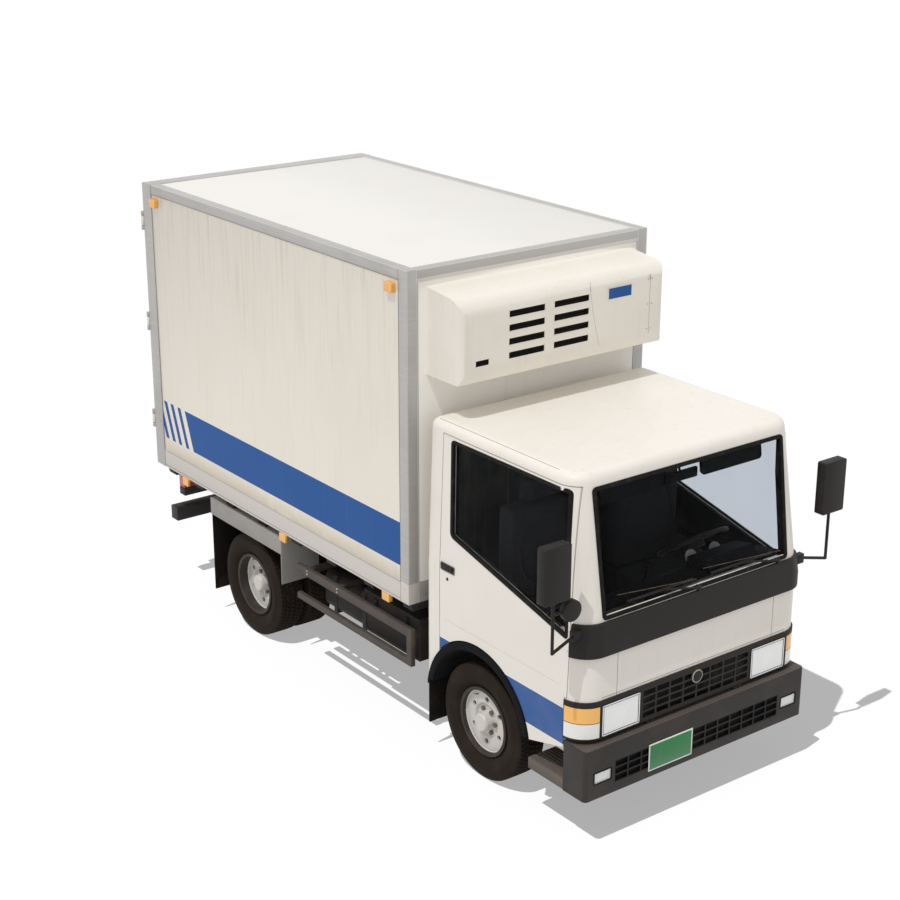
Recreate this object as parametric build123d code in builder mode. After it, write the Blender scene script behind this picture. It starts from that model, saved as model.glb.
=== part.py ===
"""Small cab-over refrigerated truck: ladder chassis, tilting cab, insulated box and cooling unit.

Millimetres. X points to the truck's left, Y to its rear and Z up. The ground is Z = 0 and the
origin lies on it, at the middle of the overall length and on the centre plane.
"""
from build123d import *
from math import cos, radians, sin
import os

os.makedirs("parts", exist_ok=True)

# ------------------------------------------------------------------ overall and axles
OVERALL_LENGTH = 4610.0
WHEELBASE = 2450.0
FRONT_OVERHANG = 946.0          # front face of the number plate to the front axle
FRONT_Y = -OVERALL_LENGTH / 2
REAR_Y = OVERALL_LENGTH / 2
FRONT_AXLE_Y = FRONT_Y + FRONT_OVERHANG
REAR_AXLE_Y = FRONT_AXLE_Y + WHEELBASE
RUNNING_GAP = 6.0               # between pieces that move past each other
SEAT_GAP = 0.3                  # between a piece and the seat that holds it
SIDES = (("right", -1), ("left", 1))
WHOLE = 6000.0                  # longer than any piece, for through cuts

# ------------------------------------------------------------------ wheels and tyres
TYRE_RADIUS = 354.0
TYRE_WIDTH = 205.0
AXLE_Z = TYRE_RADIUS
RIM_RADIUS = 210.0
RIM_WIDTH = 165.0
BEAD_RADIUS = 200.0
RIM_THICK = 9.0
BEAD_CLEARANCE = 7.0            # bead's outer edge to the inside of the rim's flange
SHOULDER = 17.0                 # tread's edge inside the widest point of the sidewall
SIDEWALL_SHARE = 0.56           # height of the widest point, as a share of the sidewall
FRONT_WHEEL_X = 717.5           # centre plane of a front tyre
REAR_OUTER_X = 758.5
REAR_INNER_X = 528.5
KINGPIN_X = 610.0
HUB_HOLES = 6
HAND_HOLE_RADIUS = 17.0
HAND_HOLE_PCD = 264.0
NUT_PCD = 150.0
NUT_RADIUS = 13.0
NUT_HEIGHT = 18.0
DISC_THICK = 14.0
WELL_R = BEAD_RADIUS - 24.0     # outside of the rim's well
WELL_HALF = 24.5                # half the well's width, at its floor and at its top
WELL_TOP_HALF = 38.5
OUTER_WELL_SHIFT = 24.0         # the outer rear rim's well, inboard of its middle
DISC_EDGE = WELL_R - RIM_THICK + 2
BARREL_INSIDE = BEAD_RADIUS - RIM_THICK + 2
REAR_HUB = (640.0, 750.0, 75.0)  # inner and outer end, radius: it joins the two discs
# wheel discs: radius, and offset of the outer face outboard of the rim's middle
FRONT_DISC = (
    (BARREL_INSIDE, 60.0), (184.0, 53.0), (108.0, 53.0), (96.0, 40.0), (60.0, 40.0),
    (56.0, 92.0), (48.0, 103.0), (0.0, 103.0),
)
OUTER_DISC = (
    (BARREL_INSIDE, 20.0), (184.0, 14.0), (108.0, 14.0), (96.0, -3.0), (60.0, -3.0),
    (56.0, 46.0), (48.0, 58.0), (0.0, 58.0),
)
INNER_DISC = ((DISC_EDGE, 16.0), (150.0, 50.0), (112.0, 112.0), (98.0, 122.0), (0.0, 122.0))
FRONT_DRUM_X = (682.0, 745.0)
REAR_DRUM_X = (456.0, 570.0)

# ------------------------------------------------------------------ cab
CAB_SET_BACK = 52.0             # front face of the cab behind the plate's face
CAB_LENGTH = 1386.0
CAB_HALF = 845.0
CAB_ROOF_HALF = 812.0
CAB_LOW_Z = 463.0
CAB_FRONT_LOW_Z = 605.0
BELT_Z = 1200.0
ROOF_Z = 2087.0
SCREEN_RAKE = 131.0             # roof's front edge behind the belt's
CAB_CORNER_R = 140.0
CAB_REAR_R = 50.0
ROOF_EDGE_R = 58.0
CAB_WALL = 45.0
ROOF_WALL = 50.0
CAB_FRONT_Y = FRONT_Y + CAB_SET_BACK
CAB_REAR_Y = CAB_FRONT_Y + CAB_LENGTH
ARCH_RADIUS = 471.0             # outer edge of the wheel arch's lip
LINER_RADIUS = 425.0
LINER_THICK = 12.0
LINER_INNER_X = 385.0
LIP_PROUD = 6.0
ARCH_Z = 371.0

# door outline: distances behind the cab's front face, and heights
DOOR_FRONT_LOW = 141.0
DOOR_SILL_BACK = 432.0          # where the sloping lower edge meets the cab's underside
DOOR_FRONT_BAND = 123.0
DOOR_FRONT_BELT = 110.0
DOOR_FRONT_TOP = 149.0
DOOR_REAR = 1244.0
DOOR_LOW_Z = 543.0
DOOR_TOP_Z = 2018.0
DOOR_HINGE_BACK = 104.0
DOOR_BARREL_Z = (1112.0, 1184.0)
DOOR_BARREL_R = 5.5
DOOR_PIN_R = 3.0
DOOR_LEAF = 26.0
TILT_Z = 598.0                  # tilt axis, under the cab's front edge
LUG_R = 6.5
TILT_PIN_R = 4.0
MOUNT_LUG_X = (300.0, 346.0)
CAB_LUG_X = (350.0, 368.0)
REAR_MOUNT_BACK = 120.0         # rear supports ahead of the cab's rear face
WINDOW = (                      # distance behind the cab's front face, height
    (186.0, 1992.0), (138.0, 1204.0), (1141.0, 1444.0), (1158.0, 1988.0),
)
SCREEN_TOP_HALF = 684.0
SCREEN_LOW_HALF = 676.0
SCREEN_TOP_Z = 1990.0
SCREEN_LOW_Z = 1320.0
GLASS_INSET = 14.0
GLASS_THICK = 6.0

# front panel: dark belt, lamp and grille band
BELT_LOW_Z = 1102.0
BELT_LEDGE_Z = 1182.0
BELT_TOP_Z = 1290.0
BELT_PROUD = 20.0
BAND_LOW_Z = 610.0
BAND_TOP_Z = 838.0
BAND_PROUD = 10.0
BAND_GAP = 8.0                  # band's rear ends to the doors' front edges
LAMP_LOW_Z = 623.0
LAMP_TOP_Z = 806.0
LAMP_DEPTH = 32.0
HEADLAMP_X = (430.0, 700.0)
CORNER_LAMP_X = 718.0
CORNER_LAMP_RIM = 5.0
GRILLE_HALF = 410.0
GRILLE_Z = (634.0, 808.0)
GRILLE_COLUMNS = 8
GRILLE_ROWS = 4
GRILLE_BAR = 12.0
GRILLE_RECESS = 25.0

# cab floor: footwell, riser and seat platform
FOOTWELL_Z = 705.0
PLATFORM_Z = 955.0
RISER_BACK = 360.0              # riser behind the cab's front face
FLOOR_THICK = 30.0

# mirrors
MIRROR_X = (947.0, 1124.0)
MIRROR_Z = (1498.0, 1813.0)
MIRROR_DEPTH = 60.0
MIRROR_Y = CAB_FRONT_Y - 8.0    # front of the mirror's housing
MIRROR_STEM_X = 1038.0
MIRROR_ARM_Z = 1204.0
MIRROR_ROOT_Z = 1240.0
MIRROR_ROOT_X = 860.0
MIRROR_ROOT_BACK = 58.0
MIRROR_TUBE_R = 9.0
ROUND_MIRROR_R = 60.0
ROUND_MIRROR_X = 925.0
ROUND_MIRROR_Z = 1424.0
ROUND_MIRROR_DEPTH = 34.0

# ------------------------------------------------------------------ bumper and steps
PLATE_SIZE = (330.0, 165.0)
PLATE_THICK = 3.0
PLATE_X = -219.0
PLATE_Z = 401.0
BUMPER_Y = FRONT_Y + PLATE_THICK
BUMPER_HALF = 845.0
BUMPER_DEPTH = 182.0
BUMPER_Z = (282.0, 590.0)
BUMPER_WALL = 40.0
BUMPER_TOP_WALL = 12.0
BUMPER_CORNER_R = 26.0
FOG_LAMP_X = (660.0, 780.0)
FOG_LAMP_Z = (375.0, 440.0)
FOG_LAMP_DEPTH = 30.0
MESH_HALF = 632.0
MESH_Z = (340.0, 472.0)
MESH_COLUMNS = 13
MESH_ROWS = 3
MESH_BAR = 8.0
MESH_DEPTH = 18.0
STEP_X = (640.0, 842.0)
STEP_Z = (284.0, 350.0)
STEP_LENGTH = 300.0

# ------------------------------------------------------------------ chassis
RAIL_X = (296.0, 350.0)
RAIL_Z = (500.0, 660.0)
RAIL_THICK = 8.0
RAIL_FRONT_Y = BUMPER_Y + BUMPER_DEPTH
RAIL_REAR_Y = 2173.0
CROSS_TUBE_R = 38.0
CROSS_TUBE_Y = (-2050.0, -640.0, 160.0, 640.0, 1560.0, 2120.0)
ENGINE_X = 205.0
ENGINE_Y = (-1855.0, -1205.0)
ENGINE_Z = (470.0, 880.0)
ENGINE_MOUNT_Y = (-1650.0, -1560.0)
ENGINE_MOUNT_Z = (540.0, 590.0)
SPRING_X = (300.0, 360.0)
SPRING_THICK = 36.0
FRONT_SEAT = 14.0               # spring seats above the axle beam and above the rear tube
REAR_SEAT = 8.0
AXLE_BEAM = 64.0                # height and depth of the front axle's beam
KINGPIN_R = 26.0
KNUCKLE_HALF_Z = 78.0
STEER_ARM = 118.0               # kingpin to tie rod ball, measured backwards
BALL_PIN_R = 9.0
SPINDLE_R = 28.0
SPINDLE_END = 745.0             # outer end of the hub's bore
TIE_ROD_R = 13.0
DRUM_RADIUS = 150.0
REAR_TUBE_R = 56.0
DIFF_RADIUS = 165.0
PINION_REACH = 40.0
STUB_R = 40.0
STUB_END = 600.0                # outer end of the rear hub's bore
EAR_GAP = 2.0                   # play beside ears, stubs and spindles
SHAFT_RADIUS = 38.0
GEARBOX_RISE = 50.0             # propeller shaft's front end above the engine's lowest face

# ------------------------------------------------------------------ insulated box
BOX_HALF = 900.0
BOX_LENGTH = 3053.0
BOX_REAR_Y = REAR_Y - 29.0      # the door gear stands 29 behind the frame
BOX_FRONT_Y = BOX_REAR_Y - BOX_LENGTH
BOX_LOW_Z = 900.0
BOX_TOP_Z = 2913.0
BOX_WALL = 75.0
BOX_FLOOR = 131.0
FRONT_POST = 80.0
REAR_POST = 118.0
TOP_RAIL = 62.0
LOW_RAIL = 131.0
PANEL_RECESS = 4.0
PORTAL_POST = 60.0
PORTAL_TOP = 95.0
PORTAL_LIP = 25.0
BOX_DOOR_THICK = 75.0
BOX_DOOR_MEET = 7.0             # half the gap where the two rear doors meet
STRAP_HEIGHTS = (1230.0, 1940.0, 2650.0)
STRAP_LENGTH = 330.0
STRAP_HALF = 30.0
STRAP_THICK = 8.0
BARREL_RADIUS = 12.0
BARREL_LENGTH = 34.0
PIN_RADIUS = 6.0
PIN_BACK = 15.0                 # hinge axis behind the portal's rear face
LOCK_ROD_X = (115.0, 560.0)
LOCK_ROD_R = 11.0
KEEPER_HEIGHTS = (1120.0, 1500.0, 1960.0, 2420.0, 2740.0)
CROSSMEMBER_Z = 850.0
CROSSMEMBER_WIDTH = 100.0
CROSSMEMBER_HALF = 878.0
CROSSMEMBER_PITCH = 410.0
CROSSMEMBER_FIRST = 53.0        # behind the box's front face
CROSSMEMBER_LAST = 156.0        # ahead of the box's rear face
CROSSMEMBER_TAPER = 14.0        # each end, from top to bottom
CROSSMEMBERS = 7

# lock rods of the rear doors
LOCK_ROD_OUT = 15.0             # rod's axis behind the box
LOCK_ROD_END = 20.0             # rod's ends inside the portal
KEEPER_HALF = (30.0, 18.0)      # half width and half height of the rods' keepers
LOCK_HANDLE = 260.0             # handle's length, inwards from the rod
LOCK_HANDLE_Z = (1490.0, 1516.0)
HANDLE_OUT = 8.0                # handle's near face behind the box

FRONT_PAD_HALF = 60.0           # spring seats along the axles, half length
REAR_PAD_HALF = 70.0
PAD_SINK = 4.0                  # seat's foot into the beam
FLAP_BAR_LAP = 100.0            # front flap's bar up the rail
STEP_ARM_Y = (40.0, 100.0)      # step's arm behind the rails' front end
STEP_ARM_THICK = 40.0
CUT_REACH = 60.0                # cutting blocks past what they trim

# cooling unit on the box's front
UNIT_HALF = 766.0
UNIT_DEPTH = 313.0
UNIT_Z = (2297.0, 2809.0)
UNIT_CHAMFER = (25.0, 58.0)     # depth and height of the sloping lower edge
UNIT_TOP_FALL = 34.0            # how far the top drops to its front edge
UNIT_TOP_R = 105.0
UNIT_CORNER_R = 50.0
UNIT_SLOTS = (                  # left edge, width, top, height, rows
    (-424.0, 264.0, 2682.0, 44.0, 4), (-96.0, 266.0, 2684.0, 44.0, 4), (-660.0, 99.0, 2431.0, 40.0, 1),
)
UNIT_SLOT_PITCH = 80.0
UNIT_SLOT_DEPTH = 40.0

# marker lamps: distance behind the box's front face, low height, side (inner, outer)
MARKER = (75.0, 56.0)
MARKERS = (
    (110.0, 2770.0, BOX_HALF - PANEL_RECESS, BOX_HALF + 25.0),
    (2845.0, 2770.0, BOX_HALF - PANEL_RECESS, BOX_HALF + 25.0),
    (205.0, 843.7, BOX_HALF - 30.0, BOX_HALF - 2.0), (1345.0, 843.7, BOX_HALF - 12.0, BOX_HALF + 6.0),
    (2610.0, 843.7, BOX_HALF - 12.0, BOX_HALF + 6.0),
)

# side guards, guards over the rear wheels, flaps and the rear bumper
GUARD_X = (840.0, 870.0)
GUARD_RAILS = ((668.0, 725.0), (481.0, 524.0))
GUARD_LENGTH = 1255.0
GUARD_START = 20.0
GUARD_POST = 48.0
GUARD_ARMS = (768.0, 1112.0)     # behind the rails' front ends
GUARD_ARM = (40.0, 35.0)         # length along the truck, height
MUDGUARD_X = (424.0, 888.0)
MUDGUARD_Y = (1430.0, 2335.0)
MUDGUARD_SIDE = 120.0
MUDGUARD_FRONT = (330.0, 290.0)  # drop of the front plate, and how far it reaches inboard
SHEET = 8.0
FLAP_THICK = 10.0
REAR_FLAP_LOW_Z = 165.0
FRONT_FLAP_X = (640.0, 840.0)
FRONT_FLAP_Z = (169.0, 450.0)
FLAP_BAR = 14.0
FRONT_FLAP_Y = CAB_REAR_Y - 26.0
UNDERRUN_HALF = 820.0
UNDERRUN_Y = (RAIL_REAR_Y, RAIL_REAR_Y + 90.0)
UNDERRUN_Z = (457.0, 557.0)
LAMP_BEAM_HALF = 748.0
LAMP_BEAM_Y = (2180.0, 2254.0)
LAMP_BEAM_Z = (632.0, 689.0)
TAIL_LAMP_X = (455.0, 745.0)
TAIL_LAMP_HEIGHT = 100.0
TAIL_LAMP_Y = (2184.0, 2254.0)
TOOL_BOX_X = (520.0, 806.0)
TOOL_BOX_Y = (20.0, 600.0)
TOOL_BOX_Z = (498.0, 772.0)
TANK_X = (380.0, 700.0)
TANK_Y = (640.0, 1200.0)
TANK_Z = (400.0, 660.0)
TANK_R = 60.0
BRACKET_ENDS = (80.0, 440.0)    # brackets of tank and tool box, behind their front ends
BRACKET_WIDTH = 40.0


# ------------------------------------------------------------------ helpers
def block(x, y, z, mode=Mode.ADD):
    """Add a box between two limits along each axis to the part being built."""
    with Locations(((x[0] + x[1]) / 2, (y[0] + y[1]) / 2, (z[0] + z[1]) / 2)):
        return Box(abs(x[1] - x[0]), abs(y[1] - y[0]), abs(z[1] - z[0]), mode=mode)


def mirrored(sign, span):
    """Limits of a span of the left side, carried over to the side named by `sign`."""
    return tuple(sorted((sign * span[0], sign * span[1])))


def side_prism(points, x, mode=Mode.ADD):
    """Extrude a closed outline drawn in Y and Z between two values of X."""
    with BuildSketch(Plane.YZ.offset(x[0])) as outline:
        with BuildLine():
            Polyline(*points, close=True)
        make_face()
    extrude(outline.sketch, amount=x[1] - x[0], mode=mode)


def front_prism(points, y, mode=Mode.ADD):
    """Extrude a closed outline drawn in X and Z between two values of Y."""
    plane = Plane(origin=(0, y[0], 0), x_dir=(-1, 0, 0), z_dir=(0, 1, 0))
    with BuildSketch(plane) as outline:
        with BuildLine():
            Polyline(*[(-px, pz) for px, pz in points], close=True)
        make_face()
    extrude(outline.sketch, amount=y[1] - y[0], mode=mode)


def rod(start, end, radius, mode=Mode.ADD):
    """Round bar from one point to another."""
    axis = Vector(*end) - Vector(*start)
    with BuildSketch(Plane(origin=start, z_dir=axis.normalized())) as section:
        Circle(radius)
    extrude(section.sketch, amount=axis.length, mode=mode)


def ring_profile(points, axle_y, mode=Mode.ADD):
    """Revolve an outline of (x, radius) points about the axle line at `axle_y`."""
    plane = Plane(origin=(0, axle_y, AXLE_Z), x_dir=(1, 0, 0), z_dir=(0, -1, 0))
    with BuildSketch(plane) as section:
        with BuildLine():
            Polyline(*points, close=True)
        make_face()
    revolve(section.sketch, axis=Axis((0, axle_y, AXLE_Z), (1, 0, 0)), mode=mode)


def save(builder, name):
    """Label a finished part and write its STEP file."""
    builder.part.label = name
    export_step(builder.part, f"parts/{name}.step")


# ------------------------------------------------------------------ tyres and wheels
def tyre(centre_x, axle_y, bulging=True):
    """Tyre band around one centre plane: beads, sidewalls and tread."""
    bead = RIM_WIDTH / 2 - RIM_THICK - BEAD_CLEARANCE
    half = TYRE_WIDTH / 2
    outline = [(bead, BEAD_RADIUS + SEAT_GAP)]
    if bulging:
        outline.append((half, BEAD_RADIUS + SIDEWALL_SHARE * (TYRE_RADIUS - BEAD_RADIUS)))
    outline.append((half - SHOULDER, TYRE_RADIUS))
    other = [(-x, r) for x, r in reversed(outline)]
    ring_profile([(centre_x + x, r) for x, r in outline + other], axle_y)


def rim(centre_x, axle_y, well_shift=0.0):
    """Rim barrel with its two flanges and its well, which may lie off the middle."""
    half = RIM_WIDTH / 2
    inside_r = BEAD_RADIUS - RIM_THICK
    flange = [(half, RIM_RADIUS), (half - RIM_THICK, RIM_RADIUS), (half - RIM_THICK, BEAD_RADIUS)]
    well = [(WELL_TOP_HALF, BEAD_RADIUS), (WELL_HALF, WELL_R)]
    under = [(WELL_HALF + RIM_THICK * 2 / 3, WELL_R - RIM_THICK), (WELL_TOP_HALF + RIM_THICK * 2 / 3,
                                                                   inside_r)]
    outer = flange + [(x + well_shift, r) for x, r in well]
    outer += [(-x + well_shift, r) for x, r in reversed(well)] + [(-x, r) for x, r in reversed(flange)]
    inner = [(-half, inside_r)] + [(-x + well_shift, r) for x, r in reversed(under)]
    inner += [(x + well_shift, r) for x, r in under] + [(half, inside_r)]
    ring_profile([(centre_x + x, radius) for x, radius in outer + inner], axle_y)


def wheel_disc(sign, centre_x, face, axle_y, nuts=True):
    """Disc from the rim's well to the hub; `face` lists (radius, offset) of its outer side."""
    outline = [(centre_x + offset, radius) for radius, offset in face]
    outline += [(x - DISC_THICK, radius) for x, radius in (outline[-1], *reversed(outline[:-1]))]
    ring_profile([(sign * x, radius) for x, radius in outline], axle_y)
    hub = Plane(origin=(sign * centre_x, axle_y, AXLE_Z), x_dir=(0, 1, 0), z_dir=(sign, 0, 0))
    nut_seat = [offset for radius, offset in face if radius > NUT_PCD / 2][-1]
    with BuildSketch(hub.offset(nut_seat - 2 * DISC_THICK)) as holes:
        with PolarLocations(HAND_HOLE_PCD / 2, HUB_HOLES, start_angle=30):
            Circle(HAND_HOLE_RADIUS)
    extrude(holes.sketch, amount=WHOLE, mode=Mode.SUBTRACT)
    if nuts:
        with BuildSketch(hub.offset(nut_seat)) as nut_ring:
            with PolarLocations(NUT_PCD / 2, HUB_HOLES):
                RegularPolygon(NUT_RADIUS, 6)
        extrude(nut_ring.sketch, amount=NUT_HEIGHT)


for side, sign in SIDES:
    with BuildPart() as front_tyre:
        tyre(sign * FRONT_WHEEL_X, FRONT_AXLE_Y)
    save(front_tyre, f"front_tyre_{side}")

    with BuildPart() as front_wheel:
        rim(sign * FRONT_WHEEL_X, FRONT_AXLE_Y)
        wheel_disc(sign, FRONT_WHEEL_X, FRONT_DISC, FRONT_AXLE_Y)
        rod((sign * FRONT_DRUM_X[0], FRONT_AXLE_Y, AXLE_Z), (sign * FRONT_DRUM_X[1], FRONT_AXLE_Y,
                                                             AXLE_Z), DRUM_RADIUS)
        rod((sign * FRONT_DRUM_X[0], FRONT_AXLE_Y, AXLE_Z), (sign * SPINDLE_END, FRONT_AXLE_Y, AXLE_Z),
            SPINDLE_R + SEAT_GAP, mode=Mode.SUBTRACT)
    save(front_wheel, f"front_wheel_{side}")

    with BuildPart() as rear_tyres:
        tyre(sign * REAR_OUTER_X, REAR_AXLE_Y)
        tyre(sign * REAR_INNER_X, REAR_AXLE_Y, bulging=False)
    save(rear_tyres, f"rear_tyres_{side}")

    with BuildPart() as rear_wheels:
        rim(sign * REAR_OUTER_X, REAR_AXLE_Y, well_shift=-sign * OUTER_WELL_SHIFT)
        rim(sign * REAR_INNER_X, REAR_AXLE_Y)
        wheel_disc(sign, REAR_OUTER_X, OUTER_DISC, REAR_AXLE_Y)
        wheel_disc(sign, REAR_INNER_X, INNER_DISC, REAR_AXLE_Y, nuts=False)
        rod((sign * REAR_HUB[0], REAR_AXLE_Y, AXLE_Z), (sign * REAR_HUB[1], REAR_AXLE_Y, AXLE_Z),
            REAR_HUB[2])
        rod((sign * REAR_DRUM_X[0], REAR_AXLE_Y, AXLE_Z), (sign * REAR_DRUM_X[1], REAR_AXLE_Y, AXLE_Z),
            DRUM_RADIUS)
        rod((sign * REAR_DRUM_X[0], REAR_AXLE_Y, AXLE_Z), (sign * STUB_END, REAR_AXLE_Y, AXLE_Z),
            STUB_R + SEAT_GAP, mode=Mode.SUBTRACT)
    save(rear_wheels, f"rear_wheels_{side}")

# ------------------------------------------------------------------ front axle, knuckles and tie rod
EYE_HALF_Z = 40.0
EYE_RADIUS = 40.0
with BuildPart() as front_axle:
    beam_end = KINGPIN_X
    block((-beam_end, beam_end), (FRONT_AXLE_Y - AXLE_BEAM / 2, FRONT_AXLE_Y + AXLE_BEAM / 2),
          (AXLE_Z - AXLE_BEAM / 2, AXLE_Z + AXLE_BEAM / 2))
    with BuildSketch(Plane.XY.offset(AXLE_Z - EYE_HALF_Z)) as eyes:
        with Locations((-KINGPIN_X, FRONT_AXLE_Y), (KINGPIN_X, FRONT_AXLE_Y)):
            Circle(EYE_RADIUS)
    extrude(eyes.sketch, amount=2 * EYE_HALF_Z)
    with BuildSketch(Plane.XY.offset(AXLE_Z - EYE_HALF_Z)) as bores:
        with Locations((-KINGPIN_X, FRONT_AXLE_Y), (KINGPIN_X, FRONT_AXLE_Y)):
            Circle(KINGPIN_R)
    extrude(bores.sketch, amount=2 * EYE_HALF_Z, mode=Mode.SUBTRACT)
    for sign in (-1, 1):
        pad_y = (FRONT_AXLE_Y - FRONT_PAD_HALF, FRONT_AXLE_Y + FRONT_PAD_HALF)
        beam_top = AXLE_Z + AXLE_BEAM / 2
        block(mirrored(sign, SPRING_X), pad_y, (beam_top - PAD_SINK, beam_top + FRONT_SEAT))
save(front_axle, "front_axle")

PIN_CLEAR = 0.3                 # radial clearance of each kingpin in its eye
ARM_THICK = 20.0
ARM_HALF = 16.0
ARM_RISE = 8.0                  # arm's underside above the knuckle's
EYE_END_R = 22.0                # arm's end round the ball pin
YOKE_REACH = 60.0               # kingpin line to the back of the knuckle's yoke
YOKE_HALF = 34.0
YOKE_LAP = 6.0                  # yoke's plate past the ears and their reach
SPINDLE_START = 40.0            # out from the kingpin line
BALL_BOSS = (18.0, 24.0)        # below the tie rod's axis, radius
arm_low = AXLE_Z - KNUCKLE_HALF_Z + ARM_RISE
tie_rod_z = arm_low - EAR_GAP - TIE_ROD_R
yoke_y = (FRONT_AXLE_Y - YOKE_HALF, FRONT_AXLE_Y + YOKE_HALF)
for side, sign in SIDES:
    pin = (sign * KINGPIN_X, FRONT_AXLE_Y)
    with BuildPart() as knuckle:
        rod((*pin, AXLE_Z - KNUCKLE_HALF_Z), (*pin, AXLE_Z + KNUCKLE_HALF_Z), KINGPIN_R - PIN_CLEAR)
        for low in (AXLE_Z - KNUCKLE_HALF_Z, AXLE_Z + EYE_HALF_Z + EAR_GAP):
            ear_top = low + KNUCKLE_HALF_Z - EYE_HALF_Z - EAR_GAP
            rod((*pin, low), (*pin, ear_top), EYE_RADIUS)
            block(mirrored(sign, (KINGPIN_X, KINGPIN_X + YOKE_REACH)), yoke_y, (low, ear_top))
        yoke_x = (KINGPIN_X + EYE_RADIUS + YOKE_LAP, KINGPIN_X + YOKE_REACH + YOKE_LAP)
        block(mirrored(sign, yoke_x), yoke_y, (AXLE_Z - KNUCKLE_HALF_Z, AXLE_Z + KNUCKLE_HALF_Z))
        block(mirrored(sign, (KINGPIN_X - ARM_HALF, KINGPIN_X + ARM_HALF)),
              (FRONT_AXLE_Y, FRONT_AXLE_Y + STEER_ARM), (arm_low, arm_low + ARM_THICK))
        eye = ((pin[0], pin[1] + STEER_ARM, arm_low), (pin[0], pin[1] + STEER_ARM, arm_low + ARM_THICK))
        rod(*eye, EYE_END_R)
        rod(*eye, BALL_PIN_R + SEAT_GAP, mode=Mode.SUBTRACT)
        rod((sign * (KINGPIN_X + SPINDLE_START), FRONT_AXLE_Y, AXLE_Z),
            (sign * (SPINDLE_END - EAR_GAP), FRONT_AXLE_Y, AXLE_Z), SPINDLE_R)
    save(knuckle, f"knuckle_{side}")

with BuildPart() as tie_rod:
    rod_y = FRONT_AXLE_Y + STEER_ARM
    rod((-KINGPIN_X, rod_y, tie_rod_z), (KINGPIN_X, rod_y, tie_rod_z), TIE_ROD_R)
    for sign in (-1, 1):
        rod((sign * KINGPIN_X, rod_y, tie_rod_z - BALL_BOSS[0]),
            (sign * KINGPIN_X, rod_y, tie_rod_z + TIE_ROD_R), BALL_BOSS[1])
        rod((sign * KINGPIN_X, rod_y, tie_rod_z), (sign * KINGPIN_X, rod_y, arm_low + ARM_THICK),
            BALL_PIN_R)
save(tie_rod, "tie_rod")

# ------------------------------------------------------------------ rear axle, propeller shaft, springs
with BuildPart() as rear_axle:
    hub_x = REAR_DRUM_X[0] - EAR_GAP
    rod((-hub_x, REAR_AXLE_Y, AXLE_Z), (hub_x, REAR_AXLE_Y, AXLE_Z), REAR_TUBE_R)
    stub_x = STUB_END - EAR_GAP
    rod((-stub_x, REAR_AXLE_Y, AXLE_Z), (stub_x, REAR_AXLE_Y, AXLE_Z), STUB_R)
    with Locations((0, REAR_AXLE_Y, AXLE_Z)):
        Sphere(DIFF_RADIUS)
    pinion_y = REAR_AXLE_Y - DIFF_RADIUS - PINION_REACH
    rod((0, pinion_y, AXLE_Z), (0, REAR_AXLE_Y, AXLE_Z), REAR_TUBE_R)
    rod((0, ENGINE_Y[1], ENGINE_Z[0] + GEARBOX_RISE), (0, pinion_y + PINION_REACH, AXLE_Z), SHAFT_RADIUS)
    block((-SHAFT_RADIUS, SHAFT_RADIUS), (ENGINE_Y[0], ENGINE_Y[1]), ENGINE_Z, mode=Mode.SUBTRACT)
    for sign in (-1, 1):
        block(mirrored(sign, SPRING_X), (REAR_AXLE_Y - REAR_PAD_HALF, REAR_AXLE_Y + REAR_PAD_HALF),
              (AXLE_Z, AXLE_Z + REAR_TUBE_R + REAR_SEAT))
save(rear_axle, "rear_axle")


def leaf_spring(sign, axle_y, seat_z, half_length, rise):
    """Arched spring pack from hanger to shackle, resting on its seat at `seat_z`."""
    x = mirrored(sign, SPRING_X)
    with BuildSketch(Plane.YZ.offset(x[0])) as pack:
        with BuildLine():
            low = ThreePointArc((axle_y - half_length, seat_z + rise), (axle_y, seat_z),
                                (axle_y + half_length, seat_z + rise))
            Line(low @ 1, low @ 1 + Vector(0, SPRING_THICK / 3))
            ThreePointArc((axle_y + half_length, seat_z + rise + SPRING_THICK / 3), (axle_y,
                                                                                     seat_z + SPRING_THICK),
                          (axle_y - half_length, seat_z + rise + SPRING_THICK / 3))
            Line((axle_y - half_length, seat_z + rise + SPRING_THICK / 3), low @ 0)
        make_face()
    extrude(pack.sketch, amount=x[1] - x[0])


SPRINGS = (                     # axle, seat height, half length, rise of the ends
    (FRONT_AXLE_Y, AXLE_Z + AXLE_BEAM / 2 + FRONT_SEAT, 460.0, 52.0),
    (REAR_AXLE_Y, AXLE_Z + REAR_TUBE_R + REAR_SEAT, 540.0, 32.0),
)
with BuildPart() as leaf_springs:
    for sign in (-1, 1):
        for spring in SPRINGS:
            leaf_spring(sign, *spring)
save(leaf_springs, "leaf_springs")

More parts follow.
